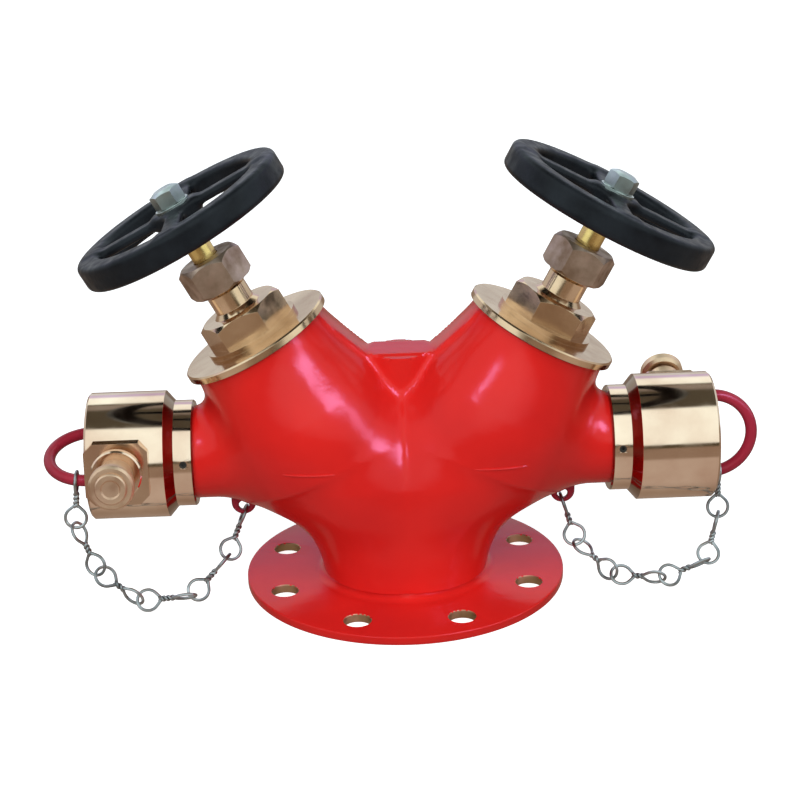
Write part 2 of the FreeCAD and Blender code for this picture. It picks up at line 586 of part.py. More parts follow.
def handwheel(side):
    """Cast wheel with a deep rim, spokes and a square-holed hub, and the washer and nut that hold it."""
    outer = d.wheel_dia / 2
    inner = outer - d.rim_width
    low = d.wheel_top - d.rim_height
    soft = d.rim_round
    belly = d.rim_belly
    wheel = turned(f"{side}_handwheel", [
        (inner, low + soft), (inner + soft, low), (outer - belly, low), (outer, low + belly),
        (outer, d.wheel_top - soft), (outer - soft / 3, d.wheel_top - soft / 3),
        (outer - soft, d.wheel_top), (inner + soft, d.wheel_top), (inner, d.wheel_top - soft)])
    wheel.AllowCompound = True
    hub_sketch = new_sketch(wheel, f"{side}_hub_profile", "XZ_Plane")
    pilot = d.hub_pilot / 2
    hub_edge = d.hub_dia / 2
    draw_polygon(hub_sketch, [
        (pilot, wheel_foot), (hub_edge - d.hub_bevel, wheel_foot),
        (hub_edge, wheel_foot + d.hub_taper),
        (hub_edge, d.wheel_top - d.hub_bevel), (hub_edge - d.hub_bevel, d.wheel_top), (pilot, d.wheel_top)])
    hub = wheel.newObject("PartDesign::Revolution", f"{side}_hub")
    hub.Profile = hub_sketch
    hub.ReferenceAxis = (hub_sketch, ["V_Axis"])
    hub.Angle = 360
    wheel.Tip = hub
    spoke_start = hub_edge - d.spoke_bury
    spoke_sketch = new_sketch(wheel, f"{side}_spoke_section", "YZ_Plane")
    bind(spoke_sketch, AttachmentOffset__Base__z=spoke_start)
    half = d.spoke_width / 2
    flat = half - d.spoke_bevel
    middle = d.wheel_top - d.spoke_drop
    rise = d.spoke_height / 2
    side_rise = rise - d.spoke_bevel * 0.8
    draw_polygon(spoke_sketch, [
        (-half, middle - side_rise), (-flat, middle - rise), (flat, middle - rise),
        (half, middle - side_rise), (half, middle + side_rise), (flat, middle + rise),
        (-flat, middle + rise), (-half, middle + side_rise)])
    spoke = wheel.newObject("PartDesign::Pad", f"{side}_spoke")
    spoke.Profile = spoke_sketch
    bind(spoke, Length=inner + d.spoke_bury - spoke_start)
    wheel.Tip = spoke
    spokes = wheel.newObject("PartDesign::PolarPattern", f"{side}_spokes")
    spokes.Originals = [spoke]
    spokes.Axis = (origin_plane(wheel, "Z_Axis"), [""])
    spokes.Angle = 360
    bind(spokes, Occurrences=d.spoke_count)
    wheel.Tip = spokes
    hole_sketch = new_sketch(wheel, f"{side}_square_outline", "XY_Plane")
    bind(hole_sketch, AttachmentOffset__Base__z=wheel_foot)
    draw_polygon(hole_sketch, square(d.square_size))
    hole = wheel.newObject("PartDesign::Pocket", f"{side}_square_hole")
    hole.Profile = hole_sketch
    hole.Reversed = True
    bind(hole, Length=d.wheel_top - wheel_foot)
    wheel.Tip = hole
    washer = turned(f"{side}_wheel_washer", [
        (d.stud_dia / 2, d.wheel_top), (d.wheel_washer_dia / 2, d.wheel_top),
        (d.wheel_washer_dia / 2, washer_top), (d.stud_dia / 2, washer_top)])
    nut = cap_nut(f"{side}_wheel_nut", d.wheel_nut_flats, washer_top)
    for item in (wheel, washer, nut):
        keep(on_head(item, side), item.Name)


def coupling(side):
    """Instantaneous female coupling with its lug pad, its inner seal and the grub screw in its collar."""
    edge = d.coupling_chamfer
    bore = d.plug_bore / 2
    seal_end = d.seal_start + d.seal_thick
    shell = turned(f"{side}_coupling_shell", [
        (d.neck_thread / 2, d.neck_shoulder), (d.collar_dia / 2 - d.edge_break, d.neck_shoulder),
        (d.collar_dia / 2, d.neck_shoulder + d.edge_break), (d.collar_dia / 2, d.collar_end),
        (d.coupling_dia / 2, d.collar_end + d.coupling_taper),
        (d.coupling_dia / 2, d.coupling_end - edge), (d.coupling_dia / 2 - edge, d.coupling_end),
        (bore + d.mouth_chamfer, d.coupling_end), (bore, d.coupling_end - d.mouth_chamfer),
        (bore, seal_end), (seal_dia / 2, seal_end), (seal_dia / 2, d.seal_start),
        (d.neck_thread / 2, d.seal_start)])
    on_outlet(shell, side)
    pad = new_body(f"{side}_lug_pad")
    pad_sketch = new_sketch(pad, f"{side}_pad_outline", "XY_Plane")
    bind(pad_sketch, AttachmentOffset__Base__z=d.pad_base)
    draw_polygon(pad_sketch, clipped_square(d.pad_size, d.pad_corner))
    block = pad.newObject("PartDesign::Pad", f"{side}_pad_block")
    block.Profile = pad_sketch
    bind(block, Length=d.pad_face - d.pad_base)
    pad.Tip = block
    on_lug(pad, side)
    ring = turned(f"{side}_lug_ring", [
        (0, d.pad_base), (d.boss_ring_dia / 2, d.pad_base),
        (d.boss_ring_dia / 2, d.boss_ring_top - d.edge_break),
        (d.boss_ring_dia / 2 - d.edge_break, d.boss_ring_top), (0, d.boss_ring_top)])
    on_lug(ring, side)
    tooth_hole = d.tooth_dia / 2 + d.run_clear
    drill = turned(f"{side}_lug_drill", [
        (0, d.nose_tip - d.drill_depth), (tooth_hole, d.nose_tip - d.drill_depth),
        (tooth_hole, d.housing_base),
        (d.housing_dia / 2, d.housing_base), (d.housing_dia / 2, d.boss_ring_top), (0, d.boss_ring_top)])
    on_lug(drill, side)
    grub_top = d.collar_dia / 2 - d.grub_sink
    grub_hole = turned(f"{side}_grub_drill", [
        (0, d.neck_thread / 2), (d.grub_dia / 2, d.neck_thread / 2), (d.grub_dia / 2, d.collar_dia / 2),
        (0, d.collar_dia / 2)])
    on_collar(grub_hole, side)
    solid = fused(f"{side}_coupling_blank", [shell, pad, ring])
    drills = fused(f"{side}_coupling_drills", [drill, grub_hole])
    keep(cut(f"{side}_coupling", solid, drills), f"{side}_coupling")
    grub = turned(f"{side}_coupling_screw", [
        (0, d.neck_thread / 2), (d.grub_dia / 2, d.neck_thread / 2), (d.grub_dia / 2, grub_top),
        (d.grub_socket / 2, grub_top), (d.grub_socket / 2, grub_top - d.grub_socket),
        (0, grub_top - d.grub_socket)])
    keep(on_collar(grub, side), grub.Name)
    seal = turned(f"{side}_coupling_seal", [
        (d.seal_bore / 2, d.seal_start), (seal_dia / 2, d.seal_start), (seal_dia / 2, seal_end),
        (d.seal_bore / 2 + d.seal_bevel, seal_end), (d.seal_bore / 2, seal_end - d.seal_bevel)])
    keep(on_outlet(seal, side), seal.Name)


def clipped_square(size, corner):
    """Square outline with its corners cut off."""
    half = size / 2
    inset = half - corner
    return [(half, -inset), (half, inset), (inset, half), (-inset, half),
            (-half, inset), (-half, -inset), (-inset, -half), (inset, -half)]


def on_collar(item, side):
    """Set a piece across a coupling's collar, pointing to the front."""
    base = (d.grub_station * SIDES[side], 0, d.outlet_height)
    return place(item, base=base, axis=(1, 0, 0), angle=as_size(90) - d.grub_rise)


def release_lug(side):
    """Spring-loaded lug: the tooth drops into the cap's groove and the knob pulls it out."""
    bore = d.tooth_dia / 2 + d.run_clear
    end_wall = d.housing_top - d.housing_end
    housing = turned(f"{side}_lug_housing", [
        (bore, d.housing_base), (d.housing_dia / 2, d.housing_base),
        (d.housing_dia / 2, d.housing_top - d.edge_break), (d.housing_dia / 2 - d.edge_break, d.housing_top),
        (d.lug_stem / 2 + d.run_clear, d.housing_top),
        (d.lug_stem / 2 + d.run_clear, end_wall), (bore, end_wall)])
    plunger = turned(f"{side}_lug_plunger", [
        (0, d.nose_tip), (d.nose_dia / 2 - d.edge_break, d.nose_tip),
        (d.nose_dia / 2, d.nose_tip + d.edge_break),
        (d.nose_dia / 2, d.nose_end), (d.tooth_dia / 2, d.nose_end + d.tooth_taper),
        (d.tooth_dia / 2, d.tooth_end),
        (d.lug_stem / 2, d.tooth_end), (d.lug_stem / 2, d.lug_stem_end), (0, d.lug_stem_end)])
    face = d.knob_face_dia / 2
    dish = d.knob_dish / 2
    rim = d.knob_dia / 2
    dent = d.knob_top - d.edge_break
    knob = turned(f"{side}_lug_knob", [
        (d.lug_stem / 2, d.knob_base), (rim - d.knob_foot, d.knob_base), (rim, d.knob_base + d.knob_foot),
        (rim, d.knob_shoulder - d.knob_bevel), (rim - d.knob_bevel, d.knob_shoulder), (face, d.knob_shoulder),
        (face, dent), (face - d.edge_break, d.knob_top), (dish, d.knob_top), (dish - d.edge_break, dent),
        (0, dent), (0, d.lug_stem_end), (d.lug_stem / 2, d.lug_stem_end)])
    for item in (housing, plunger, knob, lug_spring(side, end_wall)):
        keep(on_lug(item, side), item.Name)


def lug_spring(side, end_wall):
    """Square-wire coil spring between the plunger's shoulder and the end of its housing."""
    spring = new_body(f"{side}_lug_spring")
    sketch = new_sketch(spring, f"{side}_spring_wire", "XZ_Plane")
    inner = (d.spring_mean - d.spring_wire) / 2
    outer = (d.spring_mean + d.spring_wire) / 2
    start = d.tooth_end + d.spring_seat
    draw_polygon(sketch, [(inner, start), (outer, start), (outer, start + d.spring_wire),
                          (inner, start + d.spring_wire)])
    coil = spring.newObject("PartDesign::AdditiveHelix", f"{side}_spring_coil")
    coil.Profile = sketch
    coil.ReferenceAxis = (sketch, ["V_Axis"])
    coil.Mode = "pitch-turns-angle"
    room = end_wall - d.tooth_end - d.spring_seat * 2 - d.spring_wire
    bind(coil, Turns=d.spring_turns, Pitch=room / d.spring_turns)
    spring.Tip = coil
    return spring


def blank_cap(side):
    """Hollow plug with a groove for the lug's tooth, and a round-rod loop handle on its face."""
    turn = d.left_loop_turn if side == "left" else d.right_loop_turn
    outer = d.plug_bore / 2 - d.cap_clear
    inner = outer - d.cap_wall
    floor = d.cap_face - d.cap_plate
    half = d.nose_dia / 2 + d.groove_play
    groove = outer - d.groove_depth
    cap = turned(f"{side}_blank_cap", [
        (inner, d.cap_start), (outer - d.cap_lead, d.cap_start), (outer, d.cap_start + d.cap_lead),
        (outer, d.lug_station - half),
        (groove, d.lug_station - half), (groove, d.lug_station + half), (outer, d.lug_station + half),
        (outer, d.cap_face - d.edge_break), (outer - d.edge_break, d.cap_face), (0, d.cap_face), (0, floor),
        (inner, floor)])
    root = d.cap_face - d.loop_bury
    section = new_sketch(cap, f"{side}_loop_section", "XY_Plane")
    section.AttachmentOffset = Placement(Vector(), Rotation(Vector(0, 0, 1), turn.value))
    bind(section, AttachmentOffset__Base__z=root)
    rod_radius = d.loop_rod / 2
    rod_middle = Vector(d.loop_radius.value, 0, 0)
    rod = section.addGeometry(Part.Circle(rod_middle, Vector(0, 0, 1), rod_radius.value))
    section.addConstraint(Sketcher.Constraint("PointOnObject", rod, 3, -1))
    measure(section, "DistanceX", (-1, 1, rod, 3), d.loop_radius)
    measure(section, "Radius", (rod,), rod_radius)
    spine = new_sketch(cap, f"{side}_loop_path", "XZ_Plane")
    spine.AttachmentOffset = Placement(Vector(), Rotation(Vector(0, 1, 0), turn.value))
    if turn.value:
        bind(section, AttachmentOffset__Rotation__Angle=turn)
        bind(spine, AttachmentOffset__Rotation__Angle=turn)
    draw_loop(spine, root)
    loop = cap.newObject("PartDesign::AdditivePipe", f"{side}_loop")
    loop.Profile = section
    loop.Spine = (spine, ["Edge1", "Edge2", "Edge3"])
    cap.Tip = loop
    keep(on_outlet(cap, side), cap.Name)


def draw_loop(spine, root):
    """Path of the loop handle: a leg out of the cap's face, half a ring and a leg back."""
    reach = d.loop_radius.value
    bend = d.loop_start.value
    low = root.value
    right = spine.addGeometry(Part.LineSegment(Vector(reach, low, 0), Vector(reach, bend, 0)))
    ring = Part.Circle(Vector(0, bend, 0), Vector(0, 0, 1), reach)
    arc = spine.addGeometry(Part.ArcOfCircle(ring, 0, math.pi))
    left = spine.addGeometry(Part.LineSegment(Vector(-reach, bend, 0), Vector(-reach, low, 0)))
    for ends in ((right, 2, arc, 1), (arc, 2, left, 1)):
        spine.addConstraint(Sketcher.Constraint("Coincident", *ends))
    spine.addConstraint(Sketcher.Constraint("Vertical", right))
    spine.addConstraint(Sketcher.Constraint("Vertical", left))
    spine.addConstraint(Sketcher.Constraint("PointOnObject", arc, 3, -2))
    measure(spine, "DistanceX", (-1, 1, right, 1), d.loop_radius)
    for edge, point, height in ((right, 1, root), (right, 2, d.loop_start), (left, 1, d.loop_start),
                                (left, 2, root), (arc, 3, d.loop_start)):
        measure(spine, "DistanceY", (-1, 1, edge, point), height)


def ring_outline(centre, axis, radius, sides):
    """Regular outline about an axis."""
    level = axis.cross(Vector(0, 0, 1)) if abs(axis.z) < 0.9 else axis.cross(Vector(1, 0, 0))
    level.normalize()
    turns = [Rotation(axis, 360 * number / sides) for number in range(sides)]
    corners = [centre + turn.multVec(level) * radius for turn in turns]
    return Part.makePolygon(corners + corners[:1])


def loop_opening(reach, loop):
    """Distance from a link's middle to the point of one of its loops."""
    return reach - loop.value / 2 * (1 + d.loop_point.value)


def wire_loop(middle, reach, outwards, across, loop):
    """Drop-shaped wire loop of a chain link, from the knot round its far end and back."""
    wire = d.chain_wire.value / 2
    ring = loop.value / 2
    centre = reach - ring
    start = loop_opening(reach, loop)
    span = math.hypot(centre - start, wire)
    slope = math.asin(ring / span) - math.atan2(wire, centre - start)
    opening = math.pi / 2 + slope
    outline = [(start, wire)]
    for number in range(LOOP_BENDS + 1):
        turn = opening * (1 - 2 * number / LOOP_BENDS)
        outline.append((centre + ring * math.cos(turn), ring * math.sin(turn)))
    outline.append((start, -wire))
    path = [middle + outwards * along + across * aside for along, aside in outline]
    section = ring_outline(path[0], (path[1] - path[0]).normalize(), wire, WIRE_SIDES)
    return Part.makePolygon(path).makePipeShell([section], True, False, RIGHT_CORNERS)


def chain_link(start, end, roll, first_loop, last_loop):
    """Double-loop link: two wire loops at right angles, joined by a long knot in the middle."""
    axis = (end - start).normalize()
    middle = (start + end) * 0.5
    reach = (start.distanceToPoint(end) + d.chain_wire.value + d.chain_play.value) / 2
    level = Vector(0, 1, 0)
    level = (level - axis * level.dot(axis)).normalize()
    across = Rotation(axis, roll).multVec(level)
    upright = axis.cross(across)
    wide = d.knot_dia.value / 2
    bevel = d.chain_wire.value / 2
    low = -bevel - loop_opening(reach, first_loop)
    high = bevel + loop_opening(reach, last_loop)
    profile = ((low, wide - bevel), (low + bevel, wide), (high - bevel, wide), (high, wide - bevel))
    sections = [ring_outline(middle + axis * along, axis, radius, KNOT_SIDES) for along, radius in profile]
    knot = Part.makeLoft(sections, True, True)
    return knot.fuse([wire_loop(middle, reach, axis * -1, across, first_loop),
                      wire_loop(middle, reach, axis, upright, last_loop)])


def loop_rod_centre(side, station):
    """Point on the rod of a cap's loop handle, on its lower or front leg, at a station past the bend."""
    turn = math.radians((d.left_loop_turn if side == "left" else d.right_loop_turn).value)
    reach = math.sqrt(d.loop_radius.value ** 2 - (station - d.loop_start.value) ** 2)
    return Vector(station * SIDES[side], reach * math.sin(turn) * SIDES[side],
                  d.outlet_height.value - reach * math.cos(turn))


def ear_bar(side):
    """Middle of the bar of metal under an ear's hole, and half its diagonal."""
    top = (d.ear_height - d.ear_hole_drop - d.ear_hole / 2).value
    bottom = (d.ear_height - d.ear_dia / 2).value
    middle = Vector(d.ear_station.value * SIDES[side], 0, (top + bottom) / 2)
    return middle, math.hypot(d.ear_thick.value, top - bottom) / 2


def hung_from(centre, radius, neighbour):
    """Joint of an end link whose loop hangs round a bar and is drawn towards the next joint."""
    pull = (centre - neighbour).normalize()
    return centre + pull * (radius + d.chain_seat.value - d.chain_play.value / 2)


def chain(side, joints):
    """Double-loop links from a cap's loop to an ear, each turned a little more than the last."""
    station = d.left_chain_station if side == "left" else d.right_chain_station
    points = [Vector(*joint) for joint in joints]
    bar, bar_radius = ear_bar(side)
    first = hung_from(loop_rod_centre(side, station.value), d.loop_rod.value / 2, points[0])
    points = [first] + points + [hung_from(bar, bar_radius, points[-1])]
    count = len(points) - 1
    links = []
    for number in range(count):
        first_loop = d.end_loop if number == 0 else d.chain_loop
        last_loop = d.end_loop if number == count - 1 else d.chain_loop
        roll = 90 * number / (count - 1)
        links.append(chain_link(points[number], points[number + 1], roll, first_loop, last_loop))
    item = doc.addObject("Part::Feature", f"{side}_chain")
    item.Shape = Part.makeCompound(links)
    keep(item, f"{side}_chain")


valve_body()
for side in SIDES:
    spindle(side, *seat_and_disc(side))
    bonnet_and_gland(side)
    handwheel(side)
    coupling(side)
    release_lug(side)
    blank_cap(side)
chain("left", LEFT_CHAIN)
chain("right", RIGHT_CHAIN)
doc.recompute()

for item in doc.Objects:
    if "Invalid" in item.State or "Error" in item.State:
        raise RuntimeError(f"{item.Label} did not build: {item.State}")
os.makedirs("parts", exist_ok=True)
for item in subparts:
    shape = item.Shape
    if shape.isNull() or not shape.isValid():
        raise RuntimeError(f"{item.Label} has no valid shape")
    shape.exportStep(os.path.join("parts", f"{item.Label}.step"))
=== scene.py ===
"""Double hydrant valve: cast skin, wheels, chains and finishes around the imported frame, in a plain studio.

Metres, +Z up, origin at the centre of the inlet flange's lower face.  Stations along a head are measured
from the origin along its leaning axis, and stations along an outlet from the body's middle plane.
"""
import math

import bmesh
import bpy
import numpy as np
from bpy.props import FloatProperty, FloatVectorProperty, IntProperty, PointerProperty
from mathutils import Matrix, Vector


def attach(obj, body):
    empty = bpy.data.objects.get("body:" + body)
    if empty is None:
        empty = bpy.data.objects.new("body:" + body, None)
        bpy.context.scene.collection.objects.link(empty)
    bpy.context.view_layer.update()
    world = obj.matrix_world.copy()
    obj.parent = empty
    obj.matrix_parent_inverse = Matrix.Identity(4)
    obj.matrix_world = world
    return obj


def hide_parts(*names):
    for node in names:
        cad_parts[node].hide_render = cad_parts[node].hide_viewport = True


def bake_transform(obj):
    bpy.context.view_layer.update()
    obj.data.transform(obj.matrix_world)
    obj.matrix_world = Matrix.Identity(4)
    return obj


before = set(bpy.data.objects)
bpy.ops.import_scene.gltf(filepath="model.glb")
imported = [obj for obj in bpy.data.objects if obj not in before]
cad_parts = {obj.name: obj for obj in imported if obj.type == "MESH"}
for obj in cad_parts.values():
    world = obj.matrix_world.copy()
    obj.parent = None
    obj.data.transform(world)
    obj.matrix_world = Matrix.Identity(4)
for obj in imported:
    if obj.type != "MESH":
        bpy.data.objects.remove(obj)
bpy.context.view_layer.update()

bl_info = {
    "name": "Double hydrant valve",
    "version": (1, 0, 0),
    "blender": (4, 5, 0),
    "location": "View3D > Sidebar > Valve",
    "description": "Dresses a double hydrant valve: cast skin, wheels, chains, finishes and a studio",
    "category": "Object",
}

MM = 0.001
SIDES = {"left": -1, "right": 1}

# Points nearer than this are one point.
WELD = 0.001 * MM

# Where neighbouring links of the chains meet, in millimetres, from the blank cap's loop to the ear.
CHAIN_JOINTS = {
    "left": [(-221.5, -29.5, 58), (-207, -40.5, 28), (-180.5, -45, 7.6), (-145, -40, 7.6), (-121.5, -21, 27)],
    "right": [(217, -8, 39), (206, -29, 14), (174, -40, 7.6), (141, -36.5, 10), (118, -18.5, 27)],
}


# Settings

def length(name, description, millimetres):
    return FloatProperty(name=name, description=description, default=millimetres * MM, unit="LENGTH",
                         precision=4)


def angle(name, description, degrees):
    return FloatProperty(name=name, description=description, default=math.radians(degrees), subtype="ANGLE")


def colour(name, description, default):
    return FloatVectorProperty(name=name, description=description, default=default, subtype="COLOR",
                               min=0, max=1)


def place(name, description, default):
    return FloatVectorProperty(name=name, description=description, default=default, subtype="TRANSLATION")


def power(name, description, default):
    return FloatProperty(name=name, description=description, default=default, min=0, unit="POWER")


def factor(name, description, default):
    return FloatProperty(name=name, description=description, default=default, min=0, max=2, subtype="FACTOR")


class CastingSizes(bpy.types.PropertyGroup):
    """Sizes of the cast body."""
    flange_radius: length("Flange radius", "Outside radius of the inlet flange", 110)
    flange_thick: length("Flange thickness", "Height of the inlet flange", 6)
    flange_edge: length("Flange edge", "Rounding of the flange's rim", 1)
    flange_root: length("Flange root", "Radius between the flange and the barrel", 8)
    bolt_circle: length("Bolt circle", "Radius of the circle of bolt holes", 90)
    bolt_hole: length("Bolt hole", "Radius of a bolt hole", 9)
    hole_edge: length("Hole edge", "Chamfer round a bolt hole", 0.5)
    bolt_count: IntProperty(name="Bolts", description="Number of bolt holes", default=8, min=3)
    barrel: length("Barrel", "Outside radius of the upright barrel and its dome", 55)
    inlet_bore: length("Inlet bore", "Radius of the waterway in the barrel", 50)
    barrel_height: length("Barrel height", "Where the barrel's dome starts", 56)
    bore_depth: length("Bore depth", "Where the dome over the waterway starts", 36)
    head_tilt: angle("Head tilt", "Lean of each head's axis from upright", 28.4)
    branch_start: length("Branch start", "Station where a branch leaves the barrel", 36)
    branch: length("Branch", "Radius of the branch below a globe", 36)
    shoulder: length("Shoulder", "Half width of a half's rounded inner shoulder", 45)
    shoulder_rise: length("Shoulder rise", "Half height of an inner shoulder", 52)
    shoulder_depth: length("Shoulder depth", "Half depth of an inner shoulder, front to back", 51)
    shoulder_lean: factor("Shoulder lean", "How much shallower a shoulder grows for its height", 0.3)
    shoulder_offset: length("Shoulder offset", "Centre of a shoulder from the middle plane", 18)
    shoulder_height: length("Shoulder height", "Height of a shoulder's centre", 100)
    globe_station: length("Globe station", "Centre of a globe along its head", 125)
    globe: length("Globe", "Outside radius of a globe", 61.5)
    globe_wall: length("Globe wall", "Wall of a globe", 6.5)
    head: length("Head", "Outside radius of a head", 48)
    chest_bore: length("Chest bore", "Radius of a head's bore", 42)
    head_top: length("Head top", "Station of a head's upper face", 198)
    partition_top: length("Partition", "Station of the wall that carries the seat", 86)
    passage: length("Passage", "Radius of the waterway below the seat", 28)
    seat_hole: length("Seat hole", "Radius of the tapped hole for the seat", 31)
    seat_sink: length("Seat sink", "Depth of the tapped hole for the seat", 6)
    boss: length("Boss", "Radius of the boss between the heads", 21)
    boss_top: length("Boss top", "Height of the boss between the heads", 165)
    web_thick: length("Web", "Thickness of the web between the heads", 26)
    web_lip: place("Web lip", "Where the web ends on a head", (0.0467, 0, 0.1873))
    outlet_height: length("Outlet height", "Height of the outlets' axis", 96)
    neck: length("Neck", "Outside radius of an outlet neck", 31)
    neck_bore: length("Neck bore", "Radius of an outlet's waterway", 25)
    neck_shoulder: length("Neck shoulder", "Station where a neck meets its coupling", 140)
    neck_thread: length("Neck thread", "Radius of the threaded end in the coupling", 28)
    neck_end: length("Neck end", "Station of the threaded end's face", 162)
    ear_station: length("Ear station", "Station of a chain ear", 110)
    ear_height: length("Ear height", "Height of a chain ear's centre", 58)
    ear: length("Ear", "Radius of a chain ear", 8.5)
    ear_thick: length("Ear thickness", "Thickness of a chain ear", 5)
    ear_hole: length("Ear hole", "Radius of the hole in an ear", 3.6)
    ear_hole_drop: length("Ear hole drop", "How far the hole lies below the ear's centre", 2)
    head_blend: length("Head blend", "Soft join between a head and its globe", 28)
    branch_blend: length("Branch blend", "Soft join between a branch and its globe", 28)
    shoulder_blend: length("Shoulder blend", "Soft join between the shoulders and the globes", 9)
    shoulder_foot: length("Shoulder foot", "Soft join between the shoulders and the barrel", 26)
    neck_blend: length("Neck blend", "Soft join between a neck and its globe", 18)
    barrel_blend: length("Barrel blend", "Soft join between the globes and the barrel, in front", 48)
    barrel_crotch: length("Barrel crotch", "Soft join between the globes and the barrel, at the sides", 14)
    crease: length("Crease", "Soft join at the upper end of the line between the two halves", 3)
    crease_foot: length("Crease foot", "Soft join at the lower end of the line between the two halves", 6)
    crease_top: length("Crease top", "Height of the upper end of the crease", 135)
    crease_low: length("Crease low", "Height of the lower end of the crease", 85)
    boss_blend: length("Boss blend", "Soft join round the boss", 5)
    bead: length("Bead", "Radius of the short raised line on a globe", 0.9)
    bead_height: length("Bead height", "Height of the raised lines", 101)
    bead_start: length("Bead start", "Where a raised line starts, from the middle plane", 45)
    bead_end: length("Bead end", "Where a raised line ends, from the middle plane", 80)
    mesh_step: length("Mesh step", "Spacing of the skin's vertices", 2)


class WheelSizes(bpy.types.PropertyGroup):
    """Sizes of a handwheel."""
    radius: length("Wheel radius", "Outside radius", 75)
    rim_width: length("Rim width", "Width of the rim's section", 17)
    rim_height: length("Rim height", "Height of the rim's section", 18)
    rim_round: length("Rim rounding", "Corner radius of the rim's section", 4)
    top: length("Wheel top", "Station of the rim's upper edge", 304.5)
    hub: length("Hub", "Radius of the hub", 16)
    hub_low: length("Hub foot", "Station of the hub's lower face", 286)
    hub_round: length("Hub rounding", "Corner radius of the hub", 2)
    spoke_width: length("Spoke width", "Width of a spoke", 13)
    spoke_height: length("Spoke height", "Height of a spoke", 6)
    spoke_drop: length("Spoke drop", "How far a spoke lies below the rim's upper edge", 4)
    square: length("Square", "Width of the square hole", 12)
    blend: length("Blend", "Soft join between spokes, hub and rim", 6)
    mesh_step: length("Mesh step", "Spacing of the wheel's vertices", 1.3)


class ChainSizes(bpy.types.PropertyGroup):
    """Sizes of the knotted wire chains."""
    wire: length("Wire", "Diameter of the wire", 2.2)
    loop: length("Loop", "Diameter of a link's loop", 14.2)
    end_loop: length("End loop", "Diameter of the loops on the ear and the cap", 14.2)
    loop_point: factor("Loop point", "Distance from a loop's centre to its point, in loop radii", 1.2)
    twist: length("Twist", "Length of one turn of a link's twisted neck", 6)
    play: length("Play", "Room between two links", 1.4)
    seat: length("Seat", "Room between an end loop and its bar", 0.7)
    left_station: length("Left station", "Where the left chain hangs on its cap's loop", 219)
    right_station: length("Right station", "Where the right chain hangs on its cap's loop", 218)
    cap_loop: length("Cap loop", "Radius of a cap's loop handle", 28)
    cap_rod: length("Cap rod", "Radius of the loop handle's rod", 4)
    loop_start: length("Loop start", "Station where the loop handle bends", 212)
    left_turn: angle("Left turn", "Turn of the left loop handle", 76)
    right_turn: angle("Right turn", "Turn of the right loop handle", 0)


class FinishColours(bpy.types.PropertyGroup):
    """Colours of the finishes."""
    red: colour("Red paint", "Gloss enamel on the body", (0.80, 0.020, 0.016))
    red_deep: colour("Deep red", "Thicker runs of the enamel", (0.70, 0.016, 0.014))
    bare_bronze: colour("Bare bronze", "Drilled walls of the bolt holes", (0.30, 0.19, 0.09))
    bronze: colour("Bronze", "Turned bonnets", (0.76, 0.55, 0.36))
    bronze_brown: colour("Brown bronze", "Tarnish on the bonnets", (0.46, 0.28, 0.15))
    pale_bronze: colour("Pale bronze", "Polished couplings", (0.86, 0.67, 0.50))
    copper: colour("Copper", "Warm tarnish on the couplings", (0.62, 0.40, 0.28))
    # Painted shade: a dark tone for the couplings' corners, where shade falls.
    corner_shade: colour("Corner dirt", "Dirt in the corners of the couplings", (0.30, 0.20, 0.13))
    dull_bronze: colour("Dull bronze", "Gland nuts", (0.56, 0.42, 0.33))
    dull_brown: colour("Dull brown", "Grime on the gland nuts", (0.28, 0.18, 0.12))
    brass: colour("Brass", "Spindles and nuts", (0.80, 0.58, 0.22))
    brass_dark: colour("Dark brass", "Oil on the spindles", (0.48, 0.31, 0.09))
    black: colour("Black", "Enamel on the wheels", (0.005, 0.006, 0.008))
    black_worn: colour("Worn black", "Rubbed enamel on the wheels", (0.014, 0.017, 0.021))
    zinc: colour("Zinc", "Plated nuts and washers", (0.62, 0.68, 0.65))
    zinc_dull: colour("Dull zinc", "Weathered plating", (0.38, 0.43, 0.41))
    chain: colour("Chain", "Drawn wire", (0.46, 0.47, 0.47))
    chain_dull: colour("Dull chain", "Grey film on the wire", (0.22, 0.23, 0.23))
    maroon: colour("Maroon", "Enamel on the blank caps", (0.47, 0.030, 0.060))
    maroon_deep: colour("Deep maroon", "Thicker runs of the caps' enamel", (0.34, 0.020, 0.040))
    fibre: colour("Fibre", "Pressed fibre of the bonnet gaskets", (0.22, 0.08, 0.05))
    fibre_dark: colour("Dark fibre", "Oil in the gaskets", (0.12, 0.05, 0.04))
    rope: colour("Rope", "Greased rope of the gland packing", (0.10, 0.09, 0.07))
    rope_dark: colour("Dark rope", "Grease in the packing", (0.04, 0.04, 0.04))
    rubber: colour("Rubber", "Facings and seals", (0.035, 0.035, 0.035))
    rubber_dark: colour("Dark rubber", "Worn facings and seals", (0.02, 0.02, 0.02))
    dark_steel: colour("Dark steel", "Grub screws", (0.10, 0.09, 0.08))
    dark_steel_dull: colour("Dull dark steel", "Oil on the grub screws", (0.05, 0.045, 0.04))
    spring: colour("Spring", "Wire of the lug springs", (0.5, 0.5, 0.52))
    spring_dull: colour("Dull spring", "Grease on the lug springs", (0.3, 0.3, 0.32))


